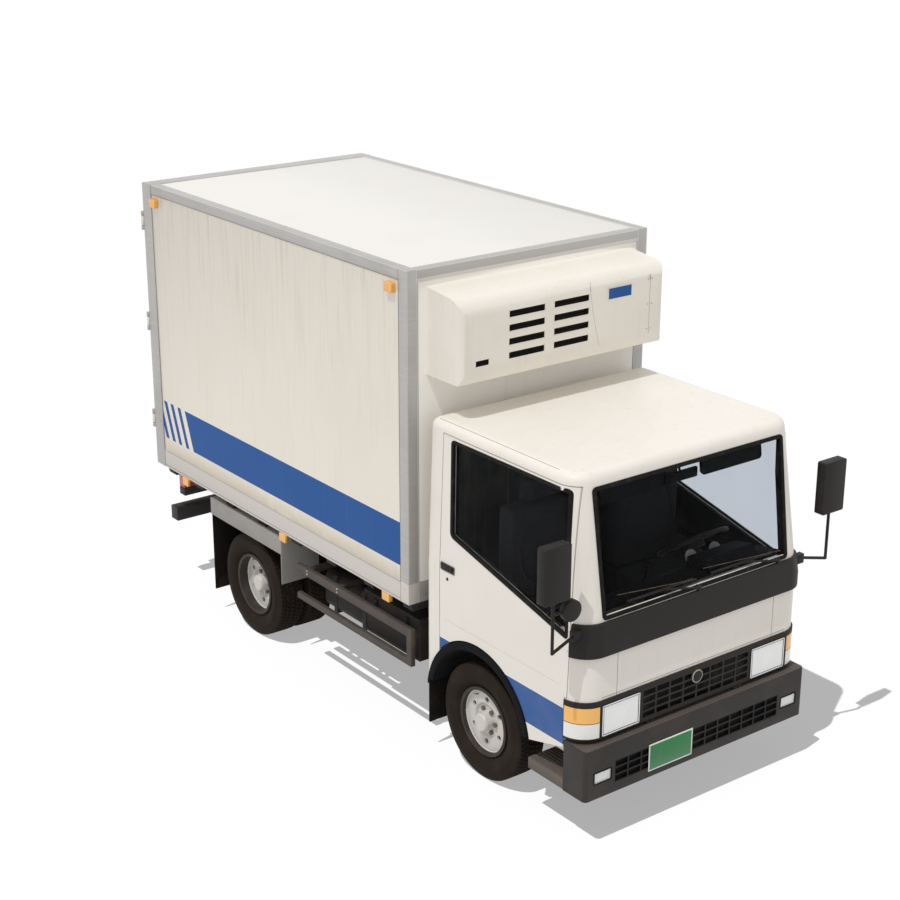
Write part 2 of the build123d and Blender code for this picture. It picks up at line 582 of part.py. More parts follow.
# ------------------------------------------------------------------ frame
HANGER_HALF = 24.0
with BuildPart() as ladder_frame:
    for sign in (-1, 1):
        web = mirrored(sign, (RAIL_X[1] - RAIL_THICK, RAIL_X[1]))
        flange = mirrored(sign, RAIL_X)
        block(web, (RAIL_FRONT_Y, RAIL_REAR_Y), RAIL_Z)
        block(flange, (RAIL_FRONT_Y, RAIL_REAR_Y), (RAIL_Z[0], RAIL_Z[0] + RAIL_THICK))
        block(flange, (RAIL_FRONT_Y, RAIL_REAR_Y), (RAIL_Z[1] - RAIL_THICK, RAIL_Z[1]))
        block(flange, (BOX_FRONT_Y + 20, RAIL_REAR_Y), (RAIL_Z[1], CROSSMEMBER_Z))
        for axle_y, seat_z, half_length, rise in SPRINGS:
            eye_z = seat_z + rise + SPRING_THICK / 3 + SEAT_GAP
            for end in (axle_y - half_length, axle_y + half_length):
                block(flange, (end - HANGER_HALF, end + HANGER_HALF), (eye_z, RAIL_Z[0] + RAIL_THICK))
    cross_z = (RAIL_Z[0] + RAIL_Z[1]) / 2
    web_face = RAIL_X[1] - RAIL_THICK
    for y in CROSS_TUBE_Y:
        rod((-web_face, y, cross_z), (web_face, y, cross_z), CROSS_TUBE_R)
save(ladder_frame, "ladder_frame")

with BuildPart() as box_crossmembers:
    last = BOX_REAR_Y - BOX_FRONT_Y - CROSSMEMBER_LAST
    steps = [CROSSMEMBER_FIRST + CROSSMEMBER_PITCH * i for i in range(CROSSMEMBERS)] + [last]
    for distance in steps:
        y = BOX_FRONT_Y + distance
        front_prism([(-CROSSMEMBER_HALF, BOX_LOW_Z), (CROSSMEMBER_HALF, BOX_LOW_Z),
                     (CROSSMEMBER_HALF - CROSSMEMBER_TAPER, CROSSMEMBER_Z),
                     (-CROSSMEMBER_HALF + CROSSMEMBER_TAPER, CROSSMEMBER_Z)],
                    (y - CROSSMEMBER_WIDTH / 2, y + CROSSMEMBER_WIDTH / 2))
save(box_crossmembers, "box_crossmembers")

with BuildPart() as engine:
    block((-ENGINE_X, ENGINE_X), ENGINE_Y, ENGINE_Z)
    fillet(engine.edges(), 20)
    for sign in (-1, 1):
        block(mirrored(sign, (ENGINE_X - 20, RAIL_X[1] - RAIL_THICK)), ENGINE_MOUNT_Y, ENGINE_MOUNT_Z)
save(engine, "engine")

# ------------------------------------------------------------------ boxes, guards, flaps
with BuildPart() as fuel_tank:
    block(mirrored(-1, TANK_X), (BOX_FRONT_Y + TANK_Y[0], BOX_FRONT_Y + TANK_Y[1]), TANK_Z)
    fillet(fuel_tank.edges().filter_by(Axis.Y), TANK_R)
    for y in BRACKET_ENDS:
        block(mirrored(-1, (RAIL_X[1], TANK_X[0])),
              (BOX_FRONT_Y + TANK_Y[0] + y, BOX_FRONT_Y + TANK_Y[0] + y + BRACKET_WIDTH),
              (RAIL_Z[0], RAIL_Z[0] + 90))
save(fuel_tank, "fuel_tank")

with BuildPart() as tool_box:
    block(mirrored(-1, TOOL_BOX_X), (BOX_FRONT_Y + TOOL_BOX_Y[0], BOX_FRONT_Y + TOOL_BOX_Y[1]), TOOL_BOX_Z)
    for y in BRACKET_ENDS:
        block(mirrored(-1, (RAIL_X[1], TOOL_BOX_X[0])),
              (BOX_FRONT_Y + TOOL_BOX_Y[0] + y, BOX_FRONT_Y + TOOL_BOX_Y[0] + y + BRACKET_WIDTH),
              (RAIL_Z[1] - 100, RAIL_Z[1] - 20))
save(tool_box, "tool_box")

with BuildPart() as side_guards:
    for sign in (-1, 1):
        rail = mirrored(sign, GUARD_X)
        start = BOX_FRONT_Y + GUARD_START
        for z in GUARD_RAILS:
            block(rail, (start, start + GUARD_LENGTH), z)
        block(rail, (start, start + GUARD_POST), (GUARD_RAILS[1][0], GUARD_RAILS[0][1]))
        for distance in GUARD_ARMS:
            block(mirrored(sign, (RAIL_X[1], GUARD_X[0])), (start + distance, start + distance + GUARD_ARM[0]),
                  (GUARD_RAILS[0][1] - GUARD_ARM[1], GUARD_RAILS[0][1]))
save(side_guards, "side_guards")

with BuildPart() as rear_mudguards:
    for sign in (-1, 1):
        guard_y = (BOX_FRONT_Y + MUDGUARD_Y[0], BOX_FRONT_Y + MUDGUARD_Y[1])
        block(mirrored(sign, MUDGUARD_X), guard_y, (CROSSMEMBER_Z - SHEET, CROSSMEMBER_Z))
        skirt = (MUDGUARD_X[1] - SHEET, MUDGUARD_X[1])
        block(mirrored(sign, skirt), guard_y, (CROSSMEMBER_Z - MUDGUARD_SIDE, CROSSMEMBER_Z))
        block(mirrored(sign, (MUDGUARD_X[1] - MUDGUARD_FRONT[1], MUDGUARD_X[1])), (guard_y[0],
                                                                                   guard_y[0] + SHEET),
              (CROSSMEMBER_Z - MUDGUARD_FRONT[0], CROSSMEMBER_Z))
save(rear_mudguards, "rear_mudguards")

with BuildPart() as mudflaps:
    for sign in (-1, 1):
        flap_y = BOX_FRONT_Y + MUDGUARD_Y[1]
        block(mirrored(sign, (MUDGUARD_X[0], MUDGUARD_X[1] - SHEET)), (flap_y - FLAP_THICK, flap_y),
              (REAR_FLAP_LOW_Z, CROSSMEMBER_Z - SHEET))
        bar_y = (FRONT_FLAP_Y, FRONT_FLAP_Y + FLAP_BAR)
        bar_z = (FRONT_FLAP_Z[1] - 2 * FLAP_BAR, FRONT_FLAP_Z[1])
        block(mirrored(sign, FRONT_FLAP_X), (FRONT_FLAP_Y - FLAP_THICK, FRONT_FLAP_Y), FRONT_FLAP_Z)
        block(mirrored(sign, (RAIL_X[1], FRONT_FLAP_X[1])), bar_y, bar_z)
        block(mirrored(sign, (RAIL_X[1], RAIL_X[1] + FLAP_BAR)), bar_y, (bar_z[0], RAIL_Z[0] + FLAP_BAR_LAP))
save(mudflaps, "mudflaps")

with BuildPart() as rear_bumper:
    block((-UNDERRUN_HALF, UNDERRUN_HALF), UNDERRUN_Y, UNDERRUN_Z)
    block((-LAMP_BEAM_HALF, LAMP_BEAM_HALF), LAMP_BEAM_Y, LAMP_BEAM_Z)
    for sign in (-1, 1):
        block(mirrored(sign, RAIL_X), (RAIL_REAR_Y, LAMP_BEAM_Y[1]), (UNDERRUN_Z[1], BOX_LOW_Z))
save(rear_bumper, "rear_bumper")

with BuildPart() as tail_lamps:
    for sign in (-1, 1):
        block(mirrored(sign, TAIL_LAMP_X), TAIL_LAMP_Y, (LAMP_BEAM_Z[1], LAMP_BEAM_Z[1] + TAIL_LAMP_HEIGHT))
    fillet(tail_lamps.edges().filter_by(Axis.X), 8)
save(tail_lamps, "tail_lamps")

with BuildPart() as number_plates:
    block((PLATE_X - PLATE_SIZE[0] / 2, PLATE_X + PLATE_SIZE[0] / 2), (FRONT_Y, FRONT_Y + PLATE_THICK),
          (PLATE_Z - PLATE_SIZE[1] / 2, PLATE_Z + PLATE_SIZE[1] / 2))
    block((-PLATE_SIZE[0] / 2, PLATE_SIZE[0] / 2), (LAMP_BEAM_Y[1], LAMP_BEAM_Y[1] + PLATE_THICK),
          (LAMP_BEAM_Z[1] - PLATE_SIZE[1] * 0.7, LAMP_BEAM_Z[1] + PLATE_SIZE[1] * 0.3))
save(number_plates, "number_plates")

# ------------------------------------------------------------------ front bumper and steps
with BuildPart() as bumper:
    block((-BUMPER_HALF, BUMPER_HALF), (BUMPER_Y, RAIL_FRONT_Y), BUMPER_Z)
    fillet(bumper.edges().filter_by(Axis.Z).group_by(Axis.Y)[0], BUMPER_CORNER_R)
    fillet(bumper.faces().sort_by(Axis.Z)[-1].edges().group_by(Axis.Y)[0], 8)
    hollow = BUMPER_HALF - BUMPER_WALL
    block((-hollow, hollow), (BUMPER_Y + BUMPER_WALL, RAIL_FRONT_Y), (BUMPER_Z[0],
                                                                      BUMPER_Z[1] - BUMPER_TOP_WALL),
          mode=Mode.SUBTRACT)
    column = 2 * MESH_HALF / MESH_COLUMNS
    row = (MESH_Z[1] - MESH_Z[0]) / MESH_ROWS
    with BuildSketch(Plane(origin=(0, BUMPER_Y, (MESH_Z[0] + MESH_Z[1]) / 2), x_dir=(1, 0, 0),
                           z_dir=(0, -1, 0))) as mesh:
        with GridLocations(column, row, MESH_COLUMNS, MESH_ROWS):
            Rectangle(column - MESH_BAR, row - MESH_BAR)
    extrude(mesh.sketch, amount=-MESH_DEPTH, mode=Mode.SUBTRACT)
    for sign in (-1, 1):
        block(mirrored(sign, FOG_LAMP_X), (BUMPER_Y, BUMPER_Y + FOG_LAMP_DEPTH), FOG_LAMP_Z,
              mode=Mode.SUBTRACT)
        block(mirrored(sign, RAIL_X), (BUMPER_Y + BUMPER_WALL, RAIL_FRONT_Y), (RAIL_Z[0],
                                                                               BUMPER_Z[1] - BUMPER_TOP_WALL))
save(bumper, "bumper")

with BuildPart() as fog_lamps:
    for sign in (-1, 1):
        low, high = mirrored(sign, FOG_LAMP_X)
        block((low + SEAT_GAP, high - SEAT_GAP), (BUMPER_Y + 3, BUMPER_Y + FOG_LAMP_DEPTH),
              (FOG_LAMP_Z[0] + SEAT_GAP, FOG_LAMP_Z[1] - SEAT_GAP))
save(fog_lamps, "fog_lamps")

with BuildPart() as cab_steps:
    for sign in (-1, 1):
        block(mirrored(sign, STEP_X), (RAIL_FRONT_Y, RAIL_FRONT_Y + STEP_LENGTH), STEP_Z)
        arm_y = (RAIL_FRONT_Y + STEP_ARM_Y[0], RAIL_FRONT_Y + STEP_ARM_Y[1])
        block(mirrored(sign, (RAIL_X[0], STEP_X[0])), arm_y, (STEP_Z[0], STEP_Z[0] + STEP_ARM_THICK))
        block(mirrored(sign, RAIL_X), arm_y, (STEP_Z[0], RAIL_Z[0]))
save(cab_steps, "cab_steps")


# ------------------------------------------------------------------ cab
def cab_skin(inset=0.0):
    """Solid bounded by the cab's outer surface, drawn in by `inset`; its two ends stay open-ended."""
    with BuildPart() as skin:
        for height, half, set_back in ((CAB_LOW_Z, CAB_HALF, 0), (BELT_Z, CAB_HALF, 0),
                                       (ROOF_Z, CAB_ROOF_HALF, SCREEN_RAKE)):
            front = CAB_FRONT_Y + set_back + inset
            rear = CAB_REAR_Y - inset
            with BuildSketch(Plane.XY.offset(height)) as section:
                with Locations((0, (front + rear) / 2)):
                    Rectangle(2 * (half - inset), rear - front)
                fillet(section.vertices().group_by(Axis.Y)[0], CAB_CORNER_R - inset)
                fillet(section.vertices().group_by(Axis.Y)[-1], max(CAB_REAR_R - inset, 4))
        loft(ruled=True)
    return skin.part


def door_outline(grow=0.0):
    """Door's outline in Y and Z, grown by `grow` on every side but the wheel arch."""
    front = CAB_FRONT_Y - grow
    rear = CAB_FRONT_Y + DOOR_REAR + grow
    step_z = BAND_TOP_Z + BAND_GAP - grow
    return [(front + DOOR_SILL_BACK, CAB_LOW_Z - grow), (front + DOOR_FRONT_LOW, DOOR_LOW_Z - grow),
            (front + DOOR_FRONT_LOW, step_z), (front + DOOR_FRONT_BAND, step_z),
            (front + DOOR_FRONT_BELT, BELT_Z), (front + DOOR_FRONT_TOP, DOOR_TOP_Z + grow),
            (rear, DOOR_TOP_Z + grow), (rear, CAB_LOW_Z - grow)]


def arch_cut(radius, x):
    """Cut the wheel arch out of the part being built."""
    rod((x[0], FRONT_AXLE_Y, ARCH_Z), (x[1], FRONT_AXLE_Y, ARCH_Z), radius, mode=Mode.SUBTRACT)


def window_prism(x, mode):
    """Door window between two values of X."""
    side_prism([(CAB_FRONT_Y + back, z) for back, z in WINDOW], x, mode)


def screen_prism(grow, mode):
    """Windscreen opening through the front of the cab."""
    front_prism([(-SCREEN_LOW_HALF - grow, SCREEN_LOW_Z - grow),
                 (SCREEN_LOW_HALF + grow, SCREEN_LOW_Z - grow),
                 (SCREEN_TOP_HALF + grow, SCREEN_TOP_Z + grow), (-SCREEN_TOP_HALF - grow,
                                                                 SCREEN_TOP_Z + grow)],
                (CAB_FRONT_Y - 50, CAB_FRONT_Y + SCREEN_RAKE + 150), mode)


outer_skin = cab_skin()
wall_core = cab_skin(CAB_WALL)
band_skin = cab_skin(-BAND_PROUD)
lamp_core = cab_skin(LAMP_DEPTH)
side_reach = CAB_HALF + CUT_REACH

with BuildPart() as roofed:
    add(outer_skin)
    fillet(roofed.faces().sort_by(Axis.Z)[-1].edges(), ROOF_EDGE_R)

with BuildPart() as hollow_core:
    add(wall_core)
    block((-WHOLE, WHOLE), (-WHOLE, WHOLE), (ROOF_Z - ROOF_WALL, ROOF_Z + 200), mode=Mode.SUBTRACT)

door_pin_y = CAB_FRONT_Y + DOOR_HINGE_BACK
BARREL_ENDS = ((DOOR_BARREL_Z[0], DOOR_BARREL_Z[0] + 18), (DOOR_BARREL_Z[1] - 18, DOOR_BARREL_Z[1]))


def door_barrel(sign, z, radius, mode=Mode.ADD):
    """Upright barrel or bore on a cab door's hinge axis."""
    rod((sign * CAB_HALF, door_pin_y, z[0]), (sign * CAB_HALF, door_pin_y, z[1]), radius, mode=mode)


with BuildPart() as cab_shell:
    add(roofed.part)
    add(hollow_core.part, mode=Mode.SUBTRACT)
    for sign in (-1, 1):
        side_prism(door_outline(RUNNING_GAP), mirrored(sign, (CAB_HALF - 200, side_reach)),
                   mode=Mode.SUBTRACT)
    arch_cut(ARCH_RADIUS + SEAT_GAP, (-side_reach, side_reach))
    screen_prism(0, Mode.SUBTRACT)
    block((-WHOLE, WHOLE), (CAB_FRONT_Y - CUT_REACH, FRONT_AXLE_Y), (0, CAB_FRONT_LOW_Z), mode=Mode.SUBTRACT)
    block((-CAB_HALF + 90, CAB_HALF - 90), (CAB_REAR_Y - CAB_WALL - 30, CAB_REAR_Y + 30),
          (0, PLATFORM_Z - FLOOR_THICK), mode=Mode.SUBTRACT)
    lamp_z = (LAMP_LOW_Z, LAMP_TOP_Z)
    front_span = (CAB_FRONT_Y - 30, CAB_FRONT_Y + LAMP_DEPTH)
    for sign in (-1, 1):
        block(mirrored(sign, HEADLAMP_X), front_span, lamp_z, mode=Mode.SUBTRACT)
    block((-GRILLE_HALF, GRILLE_HALF), (CAB_FRONT_Y - 30, CAB_FRONT_Y + GRILLE_RECESS), GRILLE_Z,
          mode=Mode.SUBTRACT)


def hinge_lug(sign, x, mode=Mode.ADD):
    """Lug around the tilt axis under the cab's front edge."""
    span = mirrored(sign, x)
    rod((span[0], CAB_FRONT_Y, TILT_Z), (span[1], CAB_FRONT_Y, TILT_Z), LUG_R, mode=mode)


def corner_lamp_zone(sign):
    """Ring of the cab's corner that one corner lamp fills."""
    with BuildPart() as zone:
        add(band_skin)
        add(lamp_core, mode=Mode.SUBTRACT)
        block(mirrored(sign, (CORNER_LAMP_X, side_reach)),
              (CAB_FRONT_Y - 40, CAB_FRONT_Y + DOOR_FRONT_LOW - BAND_GAP - CORNER_LAMP_RIM),
              (LAMP_LOW_Z, LAMP_TOP_Z), mode=Mode.INTERSECT)
    return zone.part


corner_zones = [corner_lamp_zone(sign) for sign in (-1, 1)]
with BuildPart() as cab_body:
    add(cab_shell.part)
    for zone in corner_zones:
        add(zone, mode=Mode.SUBTRACT)
    for sign in (-1, 1):
        door_barrel(sign, DOOR_BARREL_Z, DOOR_BARREL_R + 1, Mode.SUBTRACT)
        for z in BARREL_ENDS:
            door_barrel(sign, z, DOOR_BARREL_R)
            block(mirrored(sign, (CAB_HALF - DOOR_BARREL_R - 6, CAB_HALF)),
                  (door_pin_y - DOOR_BARREL_R, door_pin_y - DOOR_PIN_R + 1), z)
        door_barrel(sign, DOOR_BARREL_Z, DOOR_PIN_R)
        hinge_lug(sign, CAB_LUG_X)
        block(mirrored(sign, CAB_LUG_X), (CAB_FRONT_Y, CAB_FRONT_Y + LUG_R), (TILT_Z, CAB_FRONT_LOW_Z + 1))
        lug_bore = mirrored(sign, (CAB_LUG_X[0] - 1, CAB_LUG_X[1] + 1))
        rod((lug_bore[0], CAB_FRONT_Y, TILT_Z), (lug_bore[1], CAB_FRONT_Y, TILT_Z), TILT_PIN_R + SEAT_GAP,
            mode=Mode.SUBTRACT)
save(cab_body, "cab_shell")

with BuildPart() as cab_mounts:
    for sign in (-1, 1):
        hinge_lug(sign, MOUNT_LUG_X)
        block(mirrored(sign, MOUNT_LUG_X), (CAB_FRONT_Y - 4, CAB_FRONT_Y + 4), (BUMPER_Z[1], TILT_Z))
        pin_span = mirrored(sign, (MOUNT_LUG_X[0], CAB_LUG_X[1]))
        rod((pin_span[0], CAB_FRONT_Y, TILT_Z), (pin_span[1], CAB_FRONT_Y, TILT_Z), TILT_PIN_R)
        block(mirrored(sign, RAIL_X), (CAB_REAR_Y - REAR_MOUNT_BACK, CAB_REAR_Y - REAR_MOUNT_BACK + 60),
              (RAIL_Z[1], PLATFORM_Z - FLOOR_THICK - SEAT_GAP))
save(cab_mounts, "cab_mounts")

with BuildPart() as front_lamps:
    for zone in corner_zones:
        add(zone)
    for sign in (-1, 1):
        low, high = mirrored(sign, HEADLAMP_X)
        block((low + SEAT_GAP, high - SEAT_GAP), (CAB_FRONT_Y - BAND_PROUD, CAB_FRONT_Y + LAMP_DEPTH),
              (LAMP_LOW_Z + SEAT_GAP, LAMP_TOP_Z - SEAT_GAP))
save(front_lamps, "front_lamps")

with BuildPart() as front_grille:
    add(band_skin)
    add(outer_skin, mode=Mode.SUBTRACT)
    block((-side_reach, side_reach), (CAB_FRONT_Y - 40, CAB_FRONT_Y + DOOR_FRONT_LOW - BAND_GAP),
          (BAND_LOW_Z, BAND_TOP_Z),
          mode=Mode.INTERSECT)
    for sign, zone in zip((-1, 1), corner_zones):
        block(mirrored(sign, HEADLAMP_X), front_span, lamp_z, mode=Mode.SUBTRACT)
        add(zone, mode=Mode.SUBTRACT)
    pitch_x = 2 * GRILLE_HALF / GRILLE_COLUMNS
    pitch_z = (GRILLE_Z[1] - GRILLE_Z[0]) / GRILLE_ROWS
    grille_plane = Plane(origin=(0, CAB_FRONT_Y - 30, sum(GRILLE_Z) / 2), x_dir=(1, 0, 0), z_dir=(0, -1, 0))
    with BuildSketch(grille_plane) as slots:
        with GridLocations(pitch_x, pitch_z, GRILLE_COLUMNS, GRILLE_ROWS):
            Rectangle(pitch_x - GRILLE_BAR, pitch_z - GRILLE_BAR)
    extrude(slots.sketch, amount=-60, mode=Mode.SUBTRACT)
save(front_grille, "front_grille")

with BuildPart() as belt_panel:
    for height, proud in ((BELT_LOW_Z, BELT_PROUD), (BELT_LEDGE_Z, BELT_PROUD), (BELT_TOP_Z, 3.0)):
        front = CAB_FRONT_Y - proud
        with BuildSketch(Plane.XY.offset(height)) as section:
            with Locations((0, (front + CAB_REAR_Y) / 2)):
                Rectangle(2 * (CAB_HALF + proud), CAB_REAR_Y - front)
            fillet(section.vertices().group_by(Axis.Y)[0], CAB_CORNER_R + proud)
    loft(ruled=True)
    add(outer_skin, mode=Mode.SUBTRACT)
    block((-side_reach, side_reach), (CAB_FRONT_Y - CUT_REACH, door_pin_y - DOOR_BARREL_R - 1),
          (BELT_LOW_Z, BELT_TOP_Z), mode=Mode.INTERSECT)
save(belt_panel, "belt_panel")

with BuildPart() as windscreen:
    add(cab_skin(GLASS_INSET))
    add(cab_skin(GLASS_INSET + GLASS_THICK), mode=Mode.SUBTRACT)
    screen_prism(-SEAT_GAP, Mode.INTERSECT)
save(windscreen, "windscreen")

door_core = cab_skin(CAB_WALL)
glass_outer = cab_skin(GLASS_INSET)
glass_inner = cab_skin(GLASS_INSET + GLASS_THICK)
for side, sign in SIDES:
    door_x = mirrored(sign, (CAB_HALF - 130, side_reach))
    with BuildPart() as door:
        add(outer_skin)
        add(door_core, mode=Mode.SUBTRACT)
        side_prism(door_outline(), door_x, mode=Mode.INTERSECT)
        arch_cut(ARCH_RADIUS + RUNNING_GAP + 2, door_x)
        window_prism(door_x, Mode.SUBTRACT)
        barrel_z = (BARREL_ENDS[0][1] + EAR_GAP, BARREL_ENDS[1][0] - EAR_GAP)
        door_barrel(sign, barrel_z, DOOR_BARREL_R)
        block(mirrored(sign, (CAB_HALF - DOOR_BARREL_R, CAB_HALF + DOOR_BARREL_R)),
              (door_pin_y + DOOR_PIN_R, door_pin_y + DOOR_LEAF), barrel_z)
        door_barrel(sign, barrel_z, DOOR_PIN_R + SEAT_GAP, Mode.SUBTRACT)
    save(door, f"cab_door_{side}")

    with BuildPart() as door_glass:
        add(glass_outer)
        add(glass_inner, mode=Mode.SUBTRACT)
        window_prism(door_x, Mode.INTERSECT)
    save(door_glass, f"door_glass_{side}")

# ------------------------------------------------------------------ cab floor with wheel liners
inner_half = CAB_HALF - CAB_WALL - SEAT_GAP
floor_front = CAB_FRONT_Y + CAB_WALL + SEAT_GAP
floor_rear = CAB_REAR_Y - CAB_WALL - SEAT_GAP
riser_y = CAB_FRONT_Y + RISER_BACK
with BuildPart() as cab_floor:
    side_prism([(floor_front, FOOTWELL_Z - FLOOR_THICK), (floor_front, FOOTWELL_Z),
                (riser_y - FLOOR_THICK, FOOTWELL_Z),
                (riser_y - FLOOR_THICK, PLATFORM_Z), (floor_rear, PLATFORM_Z), (floor_rear,
                                                                                PLATFORM_Z - FLOOR_THICK),
                (riser_y, PLATFORM_Z - FLOOR_THICK), (riser_y, FOOTWELL_Z - FLOOR_THICK)], (-inner_half,
                                                                                            inner_half))
    for sign in (-1, 1):
        block(mirrored(sign, (LINER_INNER_X, LINER_INNER_X + LINER_THICK)), (riser_y - FLOOR_THICK,
                                                                             floor_rear),
              (CAB_LOW_Z, PLATFORM_Z))
    add(cab_skin(CAB_WALL + SEAT_GAP), mode=Mode.INTERSECT)
    for sign in (-1, 1):
        arch = mirrored(sign, (LINER_INNER_X, inner_half))
        lip = mirrored(sign, (inner_half - 20, CAB_HALF + LIP_PROUD))
        rod((arch[0], FRONT_AXLE_Y, ARCH_Z), (arch[1], FRONT_AXLE_Y, ARCH_Z), LINER_RADIUS + LINER_THICK)
        rod((lip[0], FRONT_AXLE_Y, ARCH_Z), (lip[1], FRONT_AXLE_Y, ARCH_Z), ARCH_RADIUS)
    for sign in (-1, 1):
        inside = mirrored(sign, (LINER_INNER_X + LINER_THICK, CAB_HALF + 100))
        arch_cut(LINER_RADIUS, inside)
    block((-WHOLE, WHOLE), (-WHOLE, WHOLE), (-200, CAB_LOW_Z), mode=Mode.SUBTRACT)
save(cab_floor, "cab_floor")

# ------------------------------------------------------------------ cab fittings
SEAT_WIDTH = 500.0
SEAT_X = 395.0
SEAT_Y = (riser_y + 20, riser_y + 500)
SEAT_CUSHION = 130.0
SEAT_BACK_HEIGHT = 560.0
SEAT_BACK_THICK = 120.0
SEAT_BACK_LAP = 20.0            # back over the cushion's rear end
SEAT_EDGE_R = 28.0
HEAD_REST_HALF = 130.0
HEAD_REST_DEPTH = 90.0
HEAD_REST_HEIGHT = 150.0
HEAD_REST_SINK = 5.0            # into the back
back_top = PLATFORM_Z + SEAT_CUSHION + SEAT_BACK_HEIGHT
with BuildPart() as seats:
    for x in (-SEAT_X, SEAT_X):
        span = (x - SEAT_WIDTH / 2, x + SEAT_WIDTH / 2)
        block(span, SEAT_Y, (PLATFORM_Z, PLATFORM_Z + SEAT_CUSHION))
        block(span, (SEAT_Y[1] - SEAT_BACK_LAP, SEAT_Y[1] + SEAT_BACK_THICK), (PLATFORM_Z, back_top))
        block((x - HEAD_REST_HALF, x + HEAD_REST_HALF), (SEAT_Y[1], SEAT_Y[1] + HEAD_REST_DEPTH),
              (back_top - HEAD_REST_SINK, back_top + HEAD_REST_HEIGHT))
    fillet(seats.edges().filter_by(Axis.Y), SEAT_EDGE_R)
save(seats, "seats")

DASH_TOP_Z = 1290.0
DASH_DEPTH = 330.0
DASH_HALF = inner_half - 35
WHEEL_RING_R = 205.0
WHEEL_GRIP_R = 15.0
WHEEL_BACK = 90.0               # steering wheel's centre behind the dashboard
WHEEL_RISE = 30.0               # and above its top
SPOKE = (26.0, 14.0)            # width, thickness
HUB_SPAN = (20.0, 40.0)         # hub above and below the wheel's plane
COLUMN_TILT = 35.0              # steering wheel's plane above level
COLUMN_R = 30.0
COLUMN_LENGTH = 215.0
HUB_R = 62.0
DASH_LOW_Z = 1010.0
DASH_ROLL = (60.0, 30.0, 110.0) # rear edge's depth, its fall at the top and at the nose
DASH_LEAD = (90.0, 20.0)        # sloping strip under the screen: depth, fall
POD_HALF = 190.0
POD_FRONT = (60.0, 130.0)       # foot and crest of the hood, behind the dashboard's front
POD_RISE = (70.0, 40.0)         # hood above the dashboard's top, at its crest and its rear
POD_REAR = (50.0, 60.0)         # dial face's foot: ahead of the rear edge, below the top
with BuildPart() as dashboard:
    dash_front = floor_front
    dash_rear = dash_front + DASH_DEPTH
    nose_y = dash_rear - DASH_ROLL[0]
    side_prism([(dash_front, DASH_LOW_Z), (dash_front, DASH_TOP_Z - DASH_LEAD[1]),
                (dash_front + DASH_LEAD[0], DASH_TOP_Z), (nose_y, DASH_TOP_Z - DASH_ROLL[1]),
                (dash_rear, DASH_TOP_Z - DASH_ROLL[2]), (nose_y, DASH_LOW_Z)], (-DASH_HALF, DASH_HALF))
    side_prism([(dash_front + POD_FRONT[0], DASH_TOP_Z - DASH_ROLL[1]),
                (dash_front + POD_FRONT[1], DASH_TOP_Z + POD_RISE[0]), (nose_y, DASH_TOP_Z + POD_RISE[1]),
                (dash_rear - POD_REAR[0], DASH_TOP_Z - POD_REAR[1])], (SEAT_X - POD_HALF, SEAT_X + POD_HALF))
    add(cab_skin(CAB_WALL + SEAT_GAP), mode=Mode.INTERSECT)
    centre = Vector(SEAT_X, dash_rear + WHEEL_BACK, DASH_TOP_Z + WHEEL_RISE)
    axis = Vector(0, sin(radians(COLUMN_TILT)), cos(radians(COLUMN_TILT)))
    rod(centre, centre - axis * (COLUMN_LENGTH + SEAT_GAP), COLUMN_R + SEAT_GAP, mode=Mode.SUBTRACT)
save(dashboard, "dashboard")

with BuildPart() as steering_wheel:
    ring_plane = Plane(origin=centre, x_dir=(1, 0, 0), z_dir=axis)
    with Locations(ring_plane):
        Torus(WHEEL_RING_R, WHEEL_GRIP_R)
    with Locations(ring_plane):
        Box(2 * WHEEL_RING_R, *SPOKE)
    with Locations(ring_plane * Location((0, -WHEEL_RING_R / 2, 0))):
        Box(SPOKE[0], WHEEL_RING_R, SPOKE[1])
    rod(centre + axis * HUB_SPAN[0], centre - axis * HUB_SPAN[1], HUB_R)
    rod(centre, centre - axis * COLUMN_LENGTH, COLUMN_R)
save(steering_wheel, "steering_wheel")

WIPER_PIVOTS = (-12.0, 609.0)
WIPER_LENGTH = 480.0
WIPER_BLADE_R = 7.0
WIPER_Z = 1307.0                # pivots, below the screen's lower edge
WIPER_TIP_RISE = 48.0           # blade above its pivot
WIPER_BOSS = (26.0, 15.0)       # pivot's height off the panel, radius
WIPER_ARM = (20.0, 2.0, 6.0)    # arm's height at the pivot and at the blade, radius
WIPER_OFFSET = 20.0             # blade's inner end from the pivot
screen_slope = SCREEN_RAKE / (ROOF_Z - BELT_Z)
screen_out = Vector(0, -1, screen_slope).normalized()


def on_screen(x, z, proud):
    """Point `proud` of the raked front surface at height `z`."""
    return Vector(x, CAB_FRONT_Y + (z - BELT_Z) * screen_slope, z) + screen_out * proud


with BuildPart() as wipers:
    for x in WIPER_PIVOTS:
        rod(on_screen(x, WIPER_Z, SEAT_GAP), on_screen(x, WIPER_Z, WIPER_BOSS[0]), WIPER_BOSS[1])
        blade_z = WIPER_Z + WIPER_TIP_RISE
        rod(on_screen(x, WIPER_Z, WIPER_ARM[0]), on_screen(x - WIPER_LENGTH / 2, blade_z, WIPER_ARM[1]),
            WIPER_ARM[2])
        blade_proud = WIPER_BLADE_R + SEAT_GAP - GLASS_INSET
        rod(on_screen(x - WIPER_OFFSET, blade_z, blade_proud),
            on_screen(x - WIPER_OFFSET - WIPER_LENGTH, blade_z, blade_proud), WIPER_BLADE_R)
save(wipers, "wipers")

